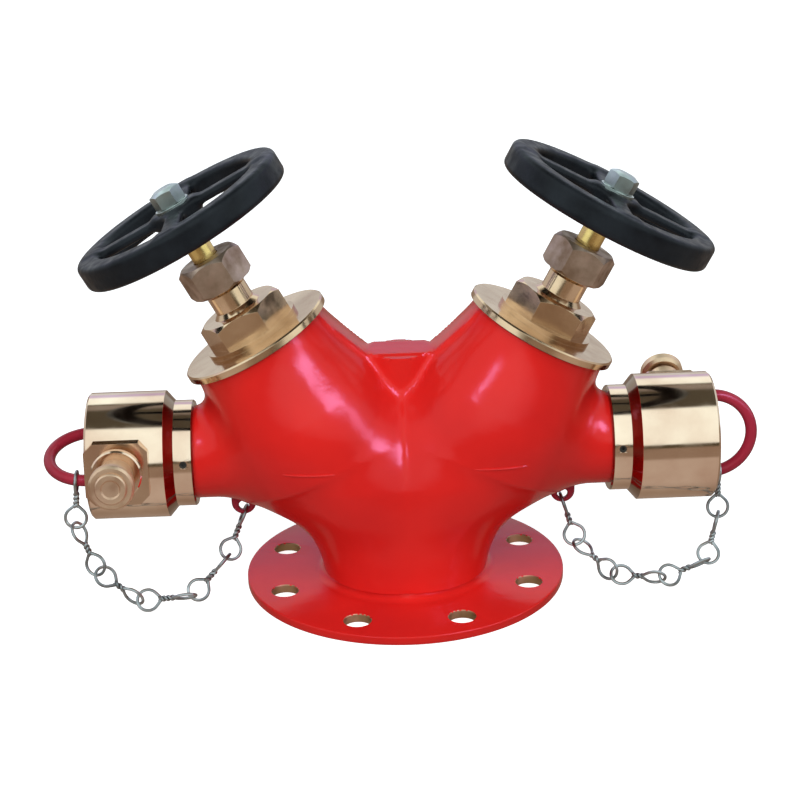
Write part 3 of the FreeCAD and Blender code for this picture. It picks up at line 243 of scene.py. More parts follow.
class StudioSettings(bpy.types.PropertyGroup):
    """Camera, lights and floor."""
    camera: place("Camera", "Where the camera stands", (-0.0298, -1.1762, 0.5571))
    aim: place("Aim", "What the camera looks at", (0, 0, 0.150))
    roll: angle("Roll", "Turn of the camera about its own axis", -1.56)
    lens: FloatProperty(name="Lens", description="Focal length", default=83.1, unit="CAMERA")
    sensor: FloatProperty(name="Sensor", description="Width of the sensor", default=36.0, unit="CAMERA")
    shift: FloatProperty(name="Shift", description="Upward shift of the frame", default=-0.0375, precision=4)
    floor: colour("Floor", "Plain pale floor", (0.92, 0.92, 0.92))
    panel_tint: colour("Panel tint", "Colour of the panels", (0.9, 0.50, 1.0))
    floor_glow: factor("Floor glow", "Light given off by the floor itself", 0.8)
    sky: factor("Sky", "Strength of the surroundings in mirroring surfaces", 1.0)
    ambient: factor("Ambient", "Strength of the surroundings on matt surfaces", 0.4)
    key: power("Key", "Power of the matt light above the front", 6)
    fill: power("Fill", "Power of the matt fill beside the camera", 19)
    right_panel: power("Right panel", "Power of the panel at the front right", 32)
    low_panel: power("Low panel", "Power of the low panel at the right", 5)
    crease_panel: power("Crease panel", "Power of the small panel that marks the crease", 2.5)
    left_panel: power("Left panel", "Power of the panel at the front left", 4.5)


class ValveSettings(bpy.types.PropertyGroup):
    """All that a user would change."""
    casting: PointerProperty(type=CastingSizes, name="Casting", description="Sizes of the cast body")
    wheel: PointerProperty(type=WheelSizes, name="Wheels", description="Sizes of the handwheels")
    chain: PointerProperty(type=ChainSizes, name="Chains", description="Sizes of the chains")
    colours: PointerProperty(type=FinishColours, name="Colours", description="Colours of the finishes")
    studio: PointerProperty(type=StudioSettings, name="Studio", description="Camera, lights and floor")


# Solids as distance fields: negative inside, in metres

def rod(points, start, end, radius):
    """Round bar with flat ends."""
    start = np.array(start)
    axis = np.array(end) - start
    span = np.linalg.norm(axis)
    axis = axis / span
    offset = points - start
    along = offset @ axis
    around = np.linalg.norm(offset - along[:, None] * axis, axis=1) - radius
    return np.maximum(around, np.abs(along - span / 2) - span / 2)


def ball(points, centre, radius):
    return np.linalg.norm(points - np.array(centre), axis=1) - radius


def egg(points, centre, radii):
    """Ball stretched to three half widths."""
    offset = (points - np.array(centre)) / radii
    reach = np.linalg.norm(offset, axis=1)
    return (reach - 1) * reach / np.maximum(np.linalg.norm(offset / radii, axis=1), 1)


def domed_post(points, height, radius):
    """Upright post under a half ball."""
    raised = np.maximum(points[:, 2] - height, 0)
    return np.sqrt(points[:, 0] ** 2 + points[:, 1] ** 2 + raised ** 2) - radius


def rounded_bar(across, up, half_width, half_height, rounding):
    """Bar of rounded rectangular section, from offsets to its middle line."""
    outside = np.stack([np.abs(across) - half_width + rounding, np.abs(up) - half_height + rounding], axis=1)
    beyond = np.linalg.norm(np.maximum(outside, 0), axis=1)
    return beyond + np.minimum(outside.max(axis=1), 0) - rounding


def soft_join(first, second, radius):
    """Union of two solids with a fillet of about the given size between them."""
    share = np.clip(0.5 + 0.5 * (second - first) / radius, 0, 1)
    return second + (first - second) * share - radius * share * (1 - share)


def soft_trim(first, second, radius):
    """What two solids have in common, with a softened edge."""
    return -soft_join(-first, -second, radius)


def pull(field, points, step):
    """How far each point lies off the surface, along the field's slope, and at most part of a step."""
    nudge = step * 0.05
    least_slope = 0.2
    longest = step * 0.6
    shortest = step * 1e-6
    rises = [field(points + nudge * unit) - field(points - nudge * unit) for unit in np.eye(3)]
    slope = np.stack(rises, axis=1) / (2 * nudge)
    size = np.maximum((slope ** 2).sum(axis=1), least_slope)
    move = (field(points) / size)[:, None] * slope
    reach = np.maximum(np.linalg.norm(move, axis=1), shortest)
    return move * np.minimum(1, longest / reach)[:, None]


def surface_of(field, low, high, step, pulls=5):
    """Quad mesh round a field: one vertex in each cell that the surface crosses, pulled onto the surface."""
    low = np.array(low)
    counts = np.ceil((np.array(high) - low) / step).astype(int) + 1
    axes = [low[number] + step * np.arange(counts[number]) for number in range(3)]
    grid = np.stack(np.meshgrid(*axes, indexing="ij"), axis=-1).reshape(-1, 3)
    inside = (field(grid) < 0).reshape(counts)
    corners = np.zeros(counts - 1, dtype=int)
    for across, along, up in np.ndindex(2, 2, 2):
        corners += inside[across:counts[0] - 1 + across, along:counts[1] - 1 + along, up:counts[2] - 1 + up]
    every_corner = 8
    crossed = (corners > 0) & (corners < every_corner)
    numbers = np.full(crossed.shape, -1)
    numbers[crossed] = np.arange(crossed.sum())
    vertices = low + step * (np.argwhere(crossed) + 0.5)
    for _ in range(pulls):
        vertices = vertices - pull(field, vertices, step)
    quads = []
    for axis in range(3):
        change = np.diff(inside.astype(int), axis=axis)
        edges = np.argwhere(change)
        aside, upward = (axis + 1) % 3, (axis + 2) % 3
        for other in (aside, upward):
            edges = edges[(edges[:, other] > 0) & (edges[:, other] < counts[other] - 1)]
        left, down = np.eye(3, dtype=int)[aside], np.eye(3, dtype=int)[upward]
        ring = (edges - left - down, edges - down, edges, edges - left)
        quad = np.stack([numbers[tuple(cells.T)] for cells in ring], axis=1)
        entering = change[tuple(edges.T)] > 0
        quad[entering] = quad[entering][:, ::-1]
        quads.append(quad)
    return vertices, np.concatenate(quads)


# Meshes

def add_mesh(bm, vertices, faces):
    """Put plain vertices and faces into a mesh under construction."""
    points = [bm.verts.new(vertex) for vertex in vertices]
    return [bm.faces.new([points[number] for number in face]) for face in faces]


def turned(profile, segments):
    """Vertices and faces of a closed outline of (radius, height) points turned about Z."""
    vertices = []
    for number in range(segments):
        turn = 2 * math.pi * number / segments
        vertices += [(radius * math.cos(turn), radius * math.sin(turn), height) for radius, height in profile]
    count = len(profile)
    faces = []
    for number in range(segments):
        here, there = number * count, (number + 1) % segments * count
        for edge in range(count):
            following = (edge + 1) % count
            faces.append((here + edge, there + edge, there + following, here + following))
    return vertices, faces


def arc(centre, radius, first, last, count):
    """Points of an arc in an outline, from one angle to another in degrees."""
    turns = [math.radians(first + (last - first) * number / count) for number in range(count + 1)]
    return [(centre[0] + radius * math.cos(turn), centre[1] + radius * math.sin(turn)) for turn in turns]


def tube(bm, path, radius, sides=8):
    """Round wire along a path, closed at both ends, with its section carried along without twist."""
    points = [Vector(point) for point in path]
    heading = (points[1] - points[0]).normalized()
    aside = heading.orthogonal().normalized()
    rings = []
    for number, point in enumerate(points):
        before = points[max(number - 1, 0)]
        after = points[min(number + 1, len(points) - 1)]
        turned_to = (after - before).normalized()
        aside = (heading.rotation_difference(turned_to) @ aside).normalized()
        heading = turned_to
        upward = heading.cross(aside)
        ring = []
        for side in range(sides):
            turn = 2 * math.pi * side / sides
            ring.append(bm.verts.new(point + radius * (aside * math.cos(turn) + upward * math.sin(turn))))
        rings.append(ring)
    for first, second in zip(rings, rings[1:]):
        for side in range(sides):
            following = (side + 1) % sides
            bm.faces.new((first[side], first[following], second[following], second[side]))
    bm.faces.new(rings[0][::-1])
    bm.faces.new(rings[-1])


def saw_off(bm, point, normal):
    """Saw off what lies beyond a plane and close the wall that the saw opens."""
    everything = bm.verts[:] + bm.edges[:] + bm.faces[:]
    cut = bmesh.ops.bisect_plane(bm, geom=everything, plane_co=point, plane_no=normal, clear_outer=True)
    edges = [item for item in cut["geom_cut"] if isinstance(item, bmesh.types.BMEdge)]
    bmesh.ops.bridge_loops(bm, edges=edges)


def new_piece(name, bm, materials, sharp=38):
    """Object from a finished mesh, smooth except at edges sharper than the given angle."""
    mesh = bpy.data.meshes.new(name)
    bm.to_mesh(mesh)
    bm.free()
    mesh.shade_smooth()
    mesh.set_sharp_from_angle(angle=math.radians(sharp))
    piece = bpy.data.objects.new(name, mesh)
    bpy.context.scene.collection.objects.link(piece)
    for material in materials:
        mesh.materials.append(material)
    return piece


def scratch_object(name, vertices, faces):
    """Object that lives only while a mesh is cut."""
    mesh = bpy.data.meshes.new(name)
    mesh.from_pydata([tuple(vertex) for vertex in vertices], [], [tuple(face) for face in faces])
    item = bpy.data.objects.new(name, mesh)
    bpy.context.scene.collection.objects.link(item)
    return item


def cut_mesh(body, tools):
    """Mesh of a scratch object with other scratch objects cut out of it; all of them are removed."""
    for tool in tools:
        cutter = body.modifiers.new(tool.name, "BOOLEAN")
        cutter.operation = "DIFFERENCE"
        cutter.object = tool
        cutter.solver = "EXACT"
    settled = body.evaluated_get(bpy.context.evaluated_depsgraph_get())
    mesh = bpy.data.meshes.new_from_object(settled)
    for item in [body] + tools:
        bpy.data.meshes.remove(item.data)
    return mesh


def dress(name, material, edge):
    """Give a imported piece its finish, and break its sharp edges by the given millimetres."""
    sharp = math.radians(20)
    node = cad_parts[name]
    for number in range(len(node.material_slots)):
        node.material_slots[number].material = material
    node.data.shade_smooth()
    weld = node.modifiers.new("Weld", "WELD")
    weld.merge_threshold = WELD
    bevel = node.modifiers.new("Broken edges", "BEVEL")
    bevel.width = edge * MM
    bevel.segments = 2
    bevel.limit_method = "ANGLE"
    bevel.angle_limit = sharp
    bevel.face_strength_mode = "FSTR_ALL"
    flats = node.modifiers.new("True flats", "WEIGHTED_NORMAL")
    flats.use_face_influence = True


def head_axis(side, tilt):
    return np.array((SIDES[side] * math.sin(tilt), 0, math.cos(tilt)))


# Finishes

def add_node(tree, kind, inputs, **settings):
    """New shader node with its settings, and its inputs set to values or linked to other nodes' outputs."""
    node = tree.nodes.new(f"ShaderNode{kind}")
    for name, value in settings.items():
        setattr(node, name, value)
    for socket, value in inputs.items():
        if isinstance(value, bpy.types.NodeSocket):
            tree.links.new(value, node.inputs[socket])
        else:
            node.inputs[socket].default_value = value
    return node


def colour_ramp(tree, source, stops):
    """Colour that goes with a value through the tones at the given places between 0 and 1."""
    node = add_node(tree, "ValToRGB", {"Fac": source})
    elements = node.color_ramp.elements
    while len(elements) < len(stops):
        elements.new(0.5)
    for element, (position, tone) in zip(elements, stops):
        element.position = position
        element.color = (*tone, 1)
    return node.outputs["Color"]


class Finish:
    """A material under construction: a shader, and the textures that drive it in the object's own frame."""

    def __init__(self, name, **sockets):
        self.material = bpy.data.materials.new(name)
        self.material.use_nodes = True
        self.tree = self.material.node_tree
        self.shader = self.tree.nodes["Principled BSDF"]
        for socket, value in sockets.items():
            self.shader.inputs[socket.replace("_", " ")].default_value = value
        self.frame = add_node(self.tree, "TexCoord", {}).outputs["Object"]
        self.relief = None

    def noise(self, scale, detail=3.0, where=None):
        inputs = {"Vector": where or self.frame, "Scale": scale, "Detail": detail}
        return add_node(self.tree, "TexNoise", inputs).outputs["Fac"]

    def spread(self, source, low, high, start=0.35, end=0.65):
        """Stretch a texture's middle range to other limits."""
        inputs = {"Value": source, "From Min": start, "From Max": end, "To Min": low, "To Max": high}
        return add_node(self.tree, "MapRange", inputs).outputs["Result"]

    def tint(self, source, first, second):
        """Colour that goes from one tone to another with a texture."""
        return colour_ramp(self.tree, source, ((0, first), (1, second)))

    def paint(self, source, socket="Base Color"):
        self.tree.links.new(source, self.shader.inputs[socket])

    def bump(self, source, depth):
        """Lay a relief of the given depth in millimetres over what is there already."""
        inputs = {"Strength": 1.0, "Distance": depth * MM, "Height": source}
        if self.relief:
            inputs["Normal"] = self.relief
        self.relief = add_node(self.tree, "Bump", inputs).outputs["Normal"]
        self.paint(self.relief, "Normal")

    def turned_frame(self, base, turn):
        """Distance from an axis, and station along it."""
        inputs = {"Vector": self.frame, "Location": base, "Rotation": turn}
        mapping = add_node(self.tree, "Mapping", inputs, vector_type="TEXTURE")
        parts = add_node(self.tree, "SeparateXYZ", {"Vector": mapping.outputs["Vector"]})
        flat = add_node(self.tree, "CombineXYZ", {letter: parts.outputs[letter] for letter in "XY"})
        radius = add_node(self.tree, "VectorMath", {0: flat.outputs["Vector"]}, operation="LENGTH")
        return radius.outputs["Value"], parts.outputs["Z"]

    def rings(self, radius, station, scale):
        """Texture of fine rings round an axis: turning marks on both faces and flanks."""
        profile = add_node(self.tree, "CombineXYZ", {"X": radius, "Y": station})
        return self.noise(scale, detail=2.0, where=profile.outputs["Vector"])

    def belt(self, clean, station, first, last, painted_shade):
        """Colour with a belt of painted shade between two stations along an axis."""
        inputs = {0: station, 1: (first + last) / 2, 2: (last - first) / 2}
        within = add_node(self.tree, "Math", inputs, operation="COMPARE")
        inputs = {"Fac": within.outputs["Value"], "Color1": clean, "Color2": (*painted_shade, 1)}
        return add_node(self.tree, "MixRGB", inputs).outputs["Color"]


def enamel(name, thin, thick, roughness):
    """Gloss paint over a casting: faint runs, orange peel and the casting's own waviness."""
    finish = Finish(name, Roughness=roughness, Specular_IOR_Level=0.18)
    runs = finish.spread(finish.noise(scale=14), low=0, high=1)
    finish.paint(finish.tint(runs, thick, thin))
    finish.bump(finish.noise(scale=55, detail=2), depth=0.35)
    finish.bump(finish.noise(scale=420, detail=1), depth=0.04)
    return finish.material


def turned_metal(name, bright, tarnish, axis, roughness, marks=0.03, belts=(), painted_shade=(0, 0, 0)):
    """Turned metal: patches of tarnish, fine rings round its axis, handling marks and corners darkened with
    painted shade.
    """
    finish = Finish(name, Metallic=1.0)
    radius, station = finish.turned_frame(*axis)
    patches = finish.spread(finish.noise(scale=22, detail=4), low=0, high=1, start=0.3, end=0.75)
    tone = finish.tint(patches, bright, tarnish)
    # Each belt paints shade over the tone between its two stations.
    for first, last in belts:
        tone = finish.belt(tone, station, first, last, painted_shade)
    finish.paint(tone)
    handling = finish.spread(finish.noise(scale=90, detail=4), low=roughness * 0.75, high=roughness * 1.4)
    finish.paint(handling, "Roughness")
    finish.bump(finish.rings(radius, station, scale=900), marks)
    finish.bump(finish.noise(scale=160, detail=4), marks)
    return finish.material


def rough_metal(name, bright, tarnish, roughness, grain=220, depth=0.06):
    """Metal with a dull film: mottled colour and a grainy surface."""
    finish = Finish(name, Metallic=1.0)
    mottle = finish.spread(finish.noise(scale=60, detail=5), low=0, high=1)
    finish.paint(finish.tint(mottle, bright, tarnish))
    film = finish.spread(finish.noise(scale=120, detail=3), low=roughness * 0.8, high=roughness * 1.3)
    finish.paint(film, "Roughness")
    finish.bump(finish.noise(scale=grain, detail=4), depth)
    return finish.material


def black_enamel(colours):
    """Black paint on cast iron: rubbed patches and sand-cast grain."""
    finish = Finish("black_enamel", Specular_IOR_Level=0.14)
    patches = finish.spread(finish.noise(scale=40, detail=5), low=0, high=1)
    finish.paint(finish.tint(patches, colours.black, colours.black_worn))
    rubbed = finish.spread(finish.noise(scale=130, detail=3), low=0.30, high=0.50)
    finish.paint(rubbed, "Roughness")
    finish.bump(finish.noise(scale=70, detail=3), depth=0.25)
    finish.bump(finish.noise(scale=480, detail=3), depth=0.08)
    return finish.material


def soft_stuff(name, first, second, roughness, grain, depth):
    """Rubber, fibre or rope: no shine, with a moulded or matted grain."""
    finish = Finish(name, Roughness=roughness)
    patches = finish.spread(finish.noise(scale=grain * 0.4, detail=4), low=0, high=1)
    finish.paint(finish.tint(patches, first, second))
    finish.bump(finish.noise(scale=grain, detail=4), depth)
    return finish.material


def on_head(side, tilt):
    """Base and turn of a head's axis, for rings."""
    return (0, 0, 0), (0, SIDES[side] * tilt, 0)


def on_outlet(side, height):
    """Base and turn of an outlet's axis, for rings."""
    return (0, 0, height), (0, SIDES[side] * math.pi / 2, 0)


# The cast body

# How far heads, necks and cores run past the faces where they are sawn off.
HEAD_SPARE = 12 * MM
NECK_SPARE = 8 * MM
CORE_SPARE = 20 * MM
CORE_OVERLAP = 1 * MM
# Room round the casting and its ears in the grids that find their skin, and the height of the heads' grid.
SKIN_MARGIN = 6 * MM
EAR_MARGIN = 2 * MM
SKIN_TOP = 214 * MM
EAR_STEP = 0.8 * MM
# Softened edges of an ear and of its hole.
EAR_EDGE = 2.5 * MM
EAR_HOLE_EDGE = 1.2 * MM
# Where the barrel's skin ends, as a share of the flange's root.
ROOT_SHARE = 0.75
# Straight sides of turned pieces.
FLANGE_SIDES = 160
DRILL_SIDES = 40
NECK_SIDES = 64
# Slots of the casting's finishes; the last is painted shade, a dark maroon laid on the chain ears that sit in
# shadow under the globes.
PAINTED, BARE, EAR_SHADE = range(3)


def casting_outside(points, size):
    """The casting as a pattern maker would shape it, with every join filleted."""
    halves, shoulders = [], []
    for side, sign in SIDES.items():
        axis = head_axis(side, size.head_tilt)
        globe_centre = axis * size.globe_station
        half = rod(points, globe_centre, axis * (size.head_top + HEAD_SPARE), size.head)
        half = soft_join(half, ball(points, globe_centre, size.globe), size.head_blend)
        branch = rod(points, axis * size.branch_start, globe_centre, size.branch)
        half = soft_join(half, branch, size.branch_blend)
        outlet = np.array((sign, 0, 0))
        level = np.array((0, 0, size.outlet_height))
        neck_start = level + outlet * size.neck_bore * 2
        neck = rod(points, neck_start, level + outlet * (size.neck_shoulder + NECK_SPARE), size.neck)
        halves.append(soft_join(half, neck, size.neck_blend))
        depth = size.shoulder_depth - size.shoulder_lean * (points[:, 2] - size.shoulder_height)
        width = np.full_like(depth, size.shoulder)
        rise = np.full_like(depth, size.shoulder_rise)
        radii = np.stack([width, depth, rise], axis=1)
        shoulders.append(egg(points, (sign * size.shoulder_offset, 0, size.shoulder_height), radii))
    fall = np.clip((size.crease_top - points[:, 2]) / (size.crease_top - size.crease_low), 0, 1)
    crease = size.crease + (size.crease_foot - size.crease) * fall
    forward = np.clip(np.abs(points[:, 1]) / size.barrel, 0, 1)
    foot = size.barrel_crotch + (size.barrel_blend - size.barrel_crotch) * forward
    whole = soft_join(*halves, size.crease)
    whole = soft_join(whole, domed_post(points, size.barrel_height, size.barrel), foot)
    settle = size.shoulder_blend + (size.shoulder_foot - size.shoulder_blend) * fall
    whole = soft_join(whole, soft_join(*shoulders, crease), settle)
    boss = rod(points, (0, 0, size.barrel_height), (0, 0, size.boss_top), size.boss)
    lip = size.web_lip
    slope = (lip[2] - size.boss_top) / (lip[0] - size.boss)
    brow = size.boss_top + np.maximum(np.abs(points[:, 0]) - size.boss, 0) * slope
    web = np.maximum(np.abs(points[:, 1]) - size.web_thick / 2, (points[:, 2] - brow) / math.hypot(1, slope))
    web = np.maximum(web, np.abs(points[:, 0]) - size.globe_station * math.sin(size.head_tilt))
    web = np.maximum(web, size.globe_station * math.cos(size.head_tilt) - points[:, 2])
    return soft_join(whole, soft_join(boss, web, size.boss_blend), size.boss_blend)


def casting_cores(points, size):
    """The waterways: barrel, passages, chests and outlets."""
    cores = [domed_post(points, size.bore_depth, size.inlet_bore)]
    for side in SIDES:
        axis = head_axis(side, size.head_tilt)
        chest = ball(points, axis * size.globe_station, size.globe - size.globe_wall)
        through = axis * (size.partition_top + CORE_OVERLAP)
        outlet = np.array((SIDES[side], 0, 0))
        level = np.array((0, 0, size.outlet_height))
        cores += [
            np.maximum(chest, size.partition_top - points @ axis),
            rod(points, axis * size.globe_station, axis * (size.head_top + CORE_SPARE), size.chest_bore),
            rod(points, axis * size.branch_start, through, size.passage),
            rod(points, axis * (size.partition_top - size.seat_sink), through, size.seat_hole),
            rod(points, level + outlet * size.neck_bore * 2, level + outlet * size.neck_end, size.neck_bore),
        ]
    return np.min(cores, axis=0)


def flange_mesh(size):
    """Drilled inlet flange with its root, ending inside the barrel's wall."""
    top, edge, root = size.flange_thick, size.flange_edge, size.flange_root
    inset = size.flange_radius - edge
    tuck = 0.4 * MM
    profile = [(size.inlet_bore, 0)]
    profile += arc((inset, edge), edge, -90, 0, count=3)
    profile += arc((inset, top - edge), edge, 0, 90, count=3)
    profile += arc((size.barrel + root, top + root), root, -90, -180, count=8)
    profile += [(size.barrel - tuck, top + root * 2), (size.inlet_bore, top + root)]
    body = scratch_object("flange", *turned(profile, FLANGE_SIDES))
    hole, flare = size.bolt_hole, size.hole_edge
    drill = [(0.0, -flare), (hole + 2 * flare, -flare), (hole, flare), (hole, top - flare),
             (hole + 2 * flare, top + flare), (0.0, top + flare)]
    tools = []
    centres = []
    for number in range(size.bolt_count):
        turn = 2 * math.pi * (number + 0.5) / size.bolt_count
        centre = Vector((size.bolt_circle * math.cos(turn), size.bolt_circle * math.sin(turn), 0))
        vertices, faces = turned(drill, DRILL_SIDES)
        tool = scratch_object(f"drill_{number}", [Vector(vertex) + centre for vertex in vertices], faces)
        bm = bmesh.new()
        bm.from_mesh(tool.data)
        bmesh.ops.remove_doubles(bm, verts=bm.verts, dist=WELD)
        bm.to_mesh(tool.data)
        bm.free()
        tools.append(tool)
        centres.append(centre)
    return cut_mesh(body, tools), centres


def ear_field(points, side, size):
    """Flat hanging ear with a round foot and a hole for the chain."""
    middle = np.array((SIDES[side] * size.ear_station, 0, size.ear_height))
    offset = points - middle
    above = np.maximum(offset[:, 2] - np.clip(offset[:, 2], 0, 2 * size.ear), 0)
    rise = above + np.minimum(offset[:, 2], 0)
    plate = np.hypot(offset[:, 0], rise) - size.ear
    plate = soft_trim(plate, np.abs(offset[:, 1]) - size.ear_thick / 2, EAR_EDGE)
    hole = size.ear_hole - np.hypot(offset[:, 0], offset[:, 2] + size.ear_hole_drop)
    return soft_trim(plate, hole, EAR_HOLE_EDGE)


def bead_path(sign, size):
    """Short level line on the front of a globe, sinking into it at both ends."""
    points, halvings = 17, 30
    share = np.linspace(0, 1, points)
    across = sign * (size.bead_start + (size.bead_end - size.bead_start) * share)
    level = np.full_like(across, size.bead_height)
    front = np.full_like(across, -2 * size.globe)
    back = np.zeros_like(across)
    for _ in range(halvings):
        middle = (front + back) / 2
        clear = casting_outside(np.stack([across, middle, level], axis=1), size) > 0
        front = np.where(clear, middle, front)
        back = np.where(clear, back, middle)
    sunk = size.bead * (2 * share - 1) ** 4
    return np.stack([across, back + sunk, level], axis=1)


class VALVE_OT_cast_body(bpy.types.Operator):
    """Make the painted casting: filleted skin, waterways, drilled flange and chain ears"""
    bl_idname = "valve.cast_body"
    bl_label = "Cast body"

    def execute(self, context):
        size = context.scene.valve.casting
        colours = context.scene.valve.colours
        bm = bmesh.new()

        def field(points):
            return np.maximum(casting_outside(points, size), -casting_cores(points, size))

        bottom = size.flange_thick + size.flange_root * ROOT_SHARE
        reach = size.neck_shoulder + HEAD_SPARE
        breadth = size.globe + SKIN_MARGIN
        low = (-reach, -breadth, bottom - SKIN_MARGIN)
        high = (reach, breadth, SKIN_TOP)
        add_mesh(bm, *surface_of(field, low, high, size.mesh_step))
        for side, sign in SIDES.items():
            axis = Vector(head_axis(side, size.head_tilt))
            saw_off(bm, axis * size.head_top, axis)
            saw_off(bm, Vector((sign * size.neck_shoulder, 0, 0)), Vector((sign, 0, 0)))
            tail = [(size.neck_bore, size.neck_shoulder), (size.neck_thread, size.neck_shoulder),
                    (size.neck_thread, size.neck_end), (size.neck_bore, size.neck_end)]
            lying = Matrix.Rotation(sign * math.pi / 2, 4, "Y")
            lying.translation = (0, 0, size.outlet_height)
            vertices, faces = turned(tail, NECK_SIDES)
            add_mesh(bm, [lying @ Vector(vertex) for vertex in vertices], faces)
            middle = np.array((sign * size.ear_station, 0, size.ear_height))
            room = np.array((size.ear, size.ear_thick, size.ear * 3)) + EAR_MARGIN

            def ear(points, side=side):
                return ear_field(points, side, size)

            # The ears get the dark slot: painted shade for the shadow under the globes, not a paint of their
            # own.
            for face in add_mesh(bm, *surface_of(ear, middle - room, middle + room, EAR_STEP)):
                face.material_index = EAR_SHADE
            tube(bm, bead_path(sign, size), size.bead)
        saw_off(bm, Vector((0, 0, bottom)), Vector((0, 0, -1)))
        flange, centres = flange_mesh(size)
        bm.from_mesh(flange)
        bpy.data.meshes.remove(flange)
        for face in bm.faces:
            middle = face.calc_center_median()
            if middle.z < size.flange_thick:
                nearest = min((middle - centre).to_2d().length for centre in centres)
                drilled = nearest < size.bolt_hole + size.hole_edge / 2
                face.material_index = BARE if drilled else PAINTED
        red = enamel("red_enamel", colours.red, colours.red_deep, roughness=0.2)
        bare = rough_metal("bare_bronze", colours.bare_bronze, colours.bronze_brown, roughness=0.45)
        # Even deep maroon on the ears: painted shade standing in for the shadow they sit in.
        dark = enamel("ear_enamel", colours.maroon_deep, colours.maroon_deep, roughness=0.28)
        piece = new_piece("cast_body", bm, [red, bare, dark])
        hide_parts("valve_body")
        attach(piece, "valve_casting")
        return {"FINISHED"}


# Handwheels

# Room round a wheel in the grid that finds its skin, and a spoke's rounding as a share of its height.
WHEEL_MARGIN = 3 * MM
SPOKE_ROUND = 0.45


def wheel_field(points, size):
    """Spoked wheel about Z with a deep rounded rim, a hub and a square hole."""
    around = np.hypot(points[:, 0], points[:, 1])
    height = points[:, 2]
    half_rim = size.rim_height / 2
    rim = rounded_bar(around - size.radius + size.rim_width / 2, height - size.top + half_rim,
                      size.rim_width / 2, half_rim, size.rim_round)
    half_hub = (size.top - size.hub_low) / 2
    hub = rounded_bar(around, height - size.top + half_hub, size.hub, half_hub, size.hub_round)
    spokes = []
    for along, across in ((0, 1), (1, 0)):
        bar = rounded_bar(points[:, across], height - size.top + size.spoke_drop,
                          size.spoke_width / 2, size.spoke_height / 2, size.spoke_height * SPOKE_ROUND)
        spokes.append(np.maximum(bar, np.abs(points[:, along]) - size.radius + size.rim_width / 2))
    whole = soft_join(soft_join(np.minimum(*spokes), hub, size.blend), rim, size.blend)
    hole = np.abs(points[:, :2]).max(axis=1) - size.square / 2
    return np.maximum(whole, -hole)


class VALVE_OT_cast_wheels(bpy.types.Operator):
    """Make the two black handwheels"""
    bl_idname = "valve.cast_wheels"
    bl_label = "Cast handwheels"

    def execute(self, context):
        size = context.scene.valve.wheel
        tilt = context.scene.valve.casting.head_tilt
        material = black_enamel(context.scene.valve.colours)

        def field(points):
            return wheel_field(points, size)

        reach = size.radius + WHEEL_MARGIN
        bottom = min(size.hub_low, size.top - size.rim_height) - WHEEL_MARGIN
        low = (-reach, -reach, bottom)
        high = (reach, reach, size.top + WHEEL_MARGIN)
        vertices, faces = surface_of(field, low, high, size.mesh_step)
        for side, sign in SIDES.items():
            lean = np.array(Matrix.Rotation(sign * tilt, 3, "Y"))
            bm = bmesh.new()
            add_mesh(bm, vertices @ lean.T, faces)
            piece = new_piece(f"{side}_cast_wheel", bm, [material])
            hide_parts(f"{side}_handwheel")
            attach(piece, f"{side}_spindle_unit")
        return {"FINISHED"}


# Chains

def loop_opening(size, reach, loop):
    """Distance from a link's middle to the point of one of its loops."""
    return reach - loop / 2 * (1 + size.loop_point)


def loop_path(size, middle, reach, outwards, across, loop):
    """Drop-shaped wire loop of a link, from its point round its far end and back."""
    wire, ring = size.wire / 2, loop / 2
    centre = reach - ring
    start = loop_opening(size, reach, loop)
    span = math.hypot(centre - start, wire)
    opening = math.pi / 2 + math.asin(ring / span) - math.atan2(wire, centre - start)
    bends = 26
    outline = [(start, wire)]
    for number in range(bends + 1):
        turn = opening * (1 - 2 * number / bends)
        outline.append((centre + ring * math.cos(turn), ring * math.sin(turn)))
    outline.append((start, -wire))
    return [middle + outwards * along + across * aside for along, aside in outline]


def strand_path(size, middle, axis, across, upright, low, high, phase):
    """One of the two strands of a link's neck, which twist about each other between its loops.

    The twist is a quarter turn more than so many half turns, because the loops stand at right angles.
    """
    half_turns = max(round(2 * (high - low) / size.twist - 0.5), 1)
    turns = half_turns / 2 + 0.25
    steps_a_turn = 16
    count = round(turns * steps_a_turn)
    path = []
    for number in range(count + 1):
        turn = 2 * math.pi * turns * number / count + phase
        along = low + (high - low) * number / count
        aside = across * math.cos(turn) + upright * math.sin(turn)
        path.append(middle + axis * along + size.wire / 2 * aside)
    return path


def chain_link(bm, size, start, end, roll, first_loop, last_loop):
    """Double-loop link: two wire loops at right angles, joined by a twisted neck."""
    axis = (end - start).normalized()
    middle = (start + end) / 2
    reach = ((end - start).length + size.wire + size.play) / 2
    level = Vector((0, 1, 0))
    level = (level - axis * level.dot(axis)).normalized()
    across = Matrix.Rotation(roll, 3, axis) @ level
    upright = axis.cross(across)
    tube(bm, loop_path(size, middle, reach, -axis, across, first_loop), size.wire / 2)
    tube(bm, loop_path(size, middle, reach, axis, upright, last_loop), size.wire / 2)
    low = -loop_opening(size, reach, first_loop) - size.wire / 2
    high = loop_opening(size, reach, last_loop) + size.wire / 2
    for phase in (0, math.pi):
        tube(bm, strand_path(size, middle, axis, across, upright, low, high, phase), size.wire / 2)


def hung_from(size, centre, radius, neighbour):
    """Joint of an end link whose loop hangs round a bar and is drawn towards the next joint."""
    return centre + (centre - neighbour).normalized() * (radius + size.seat - size.play / 2)


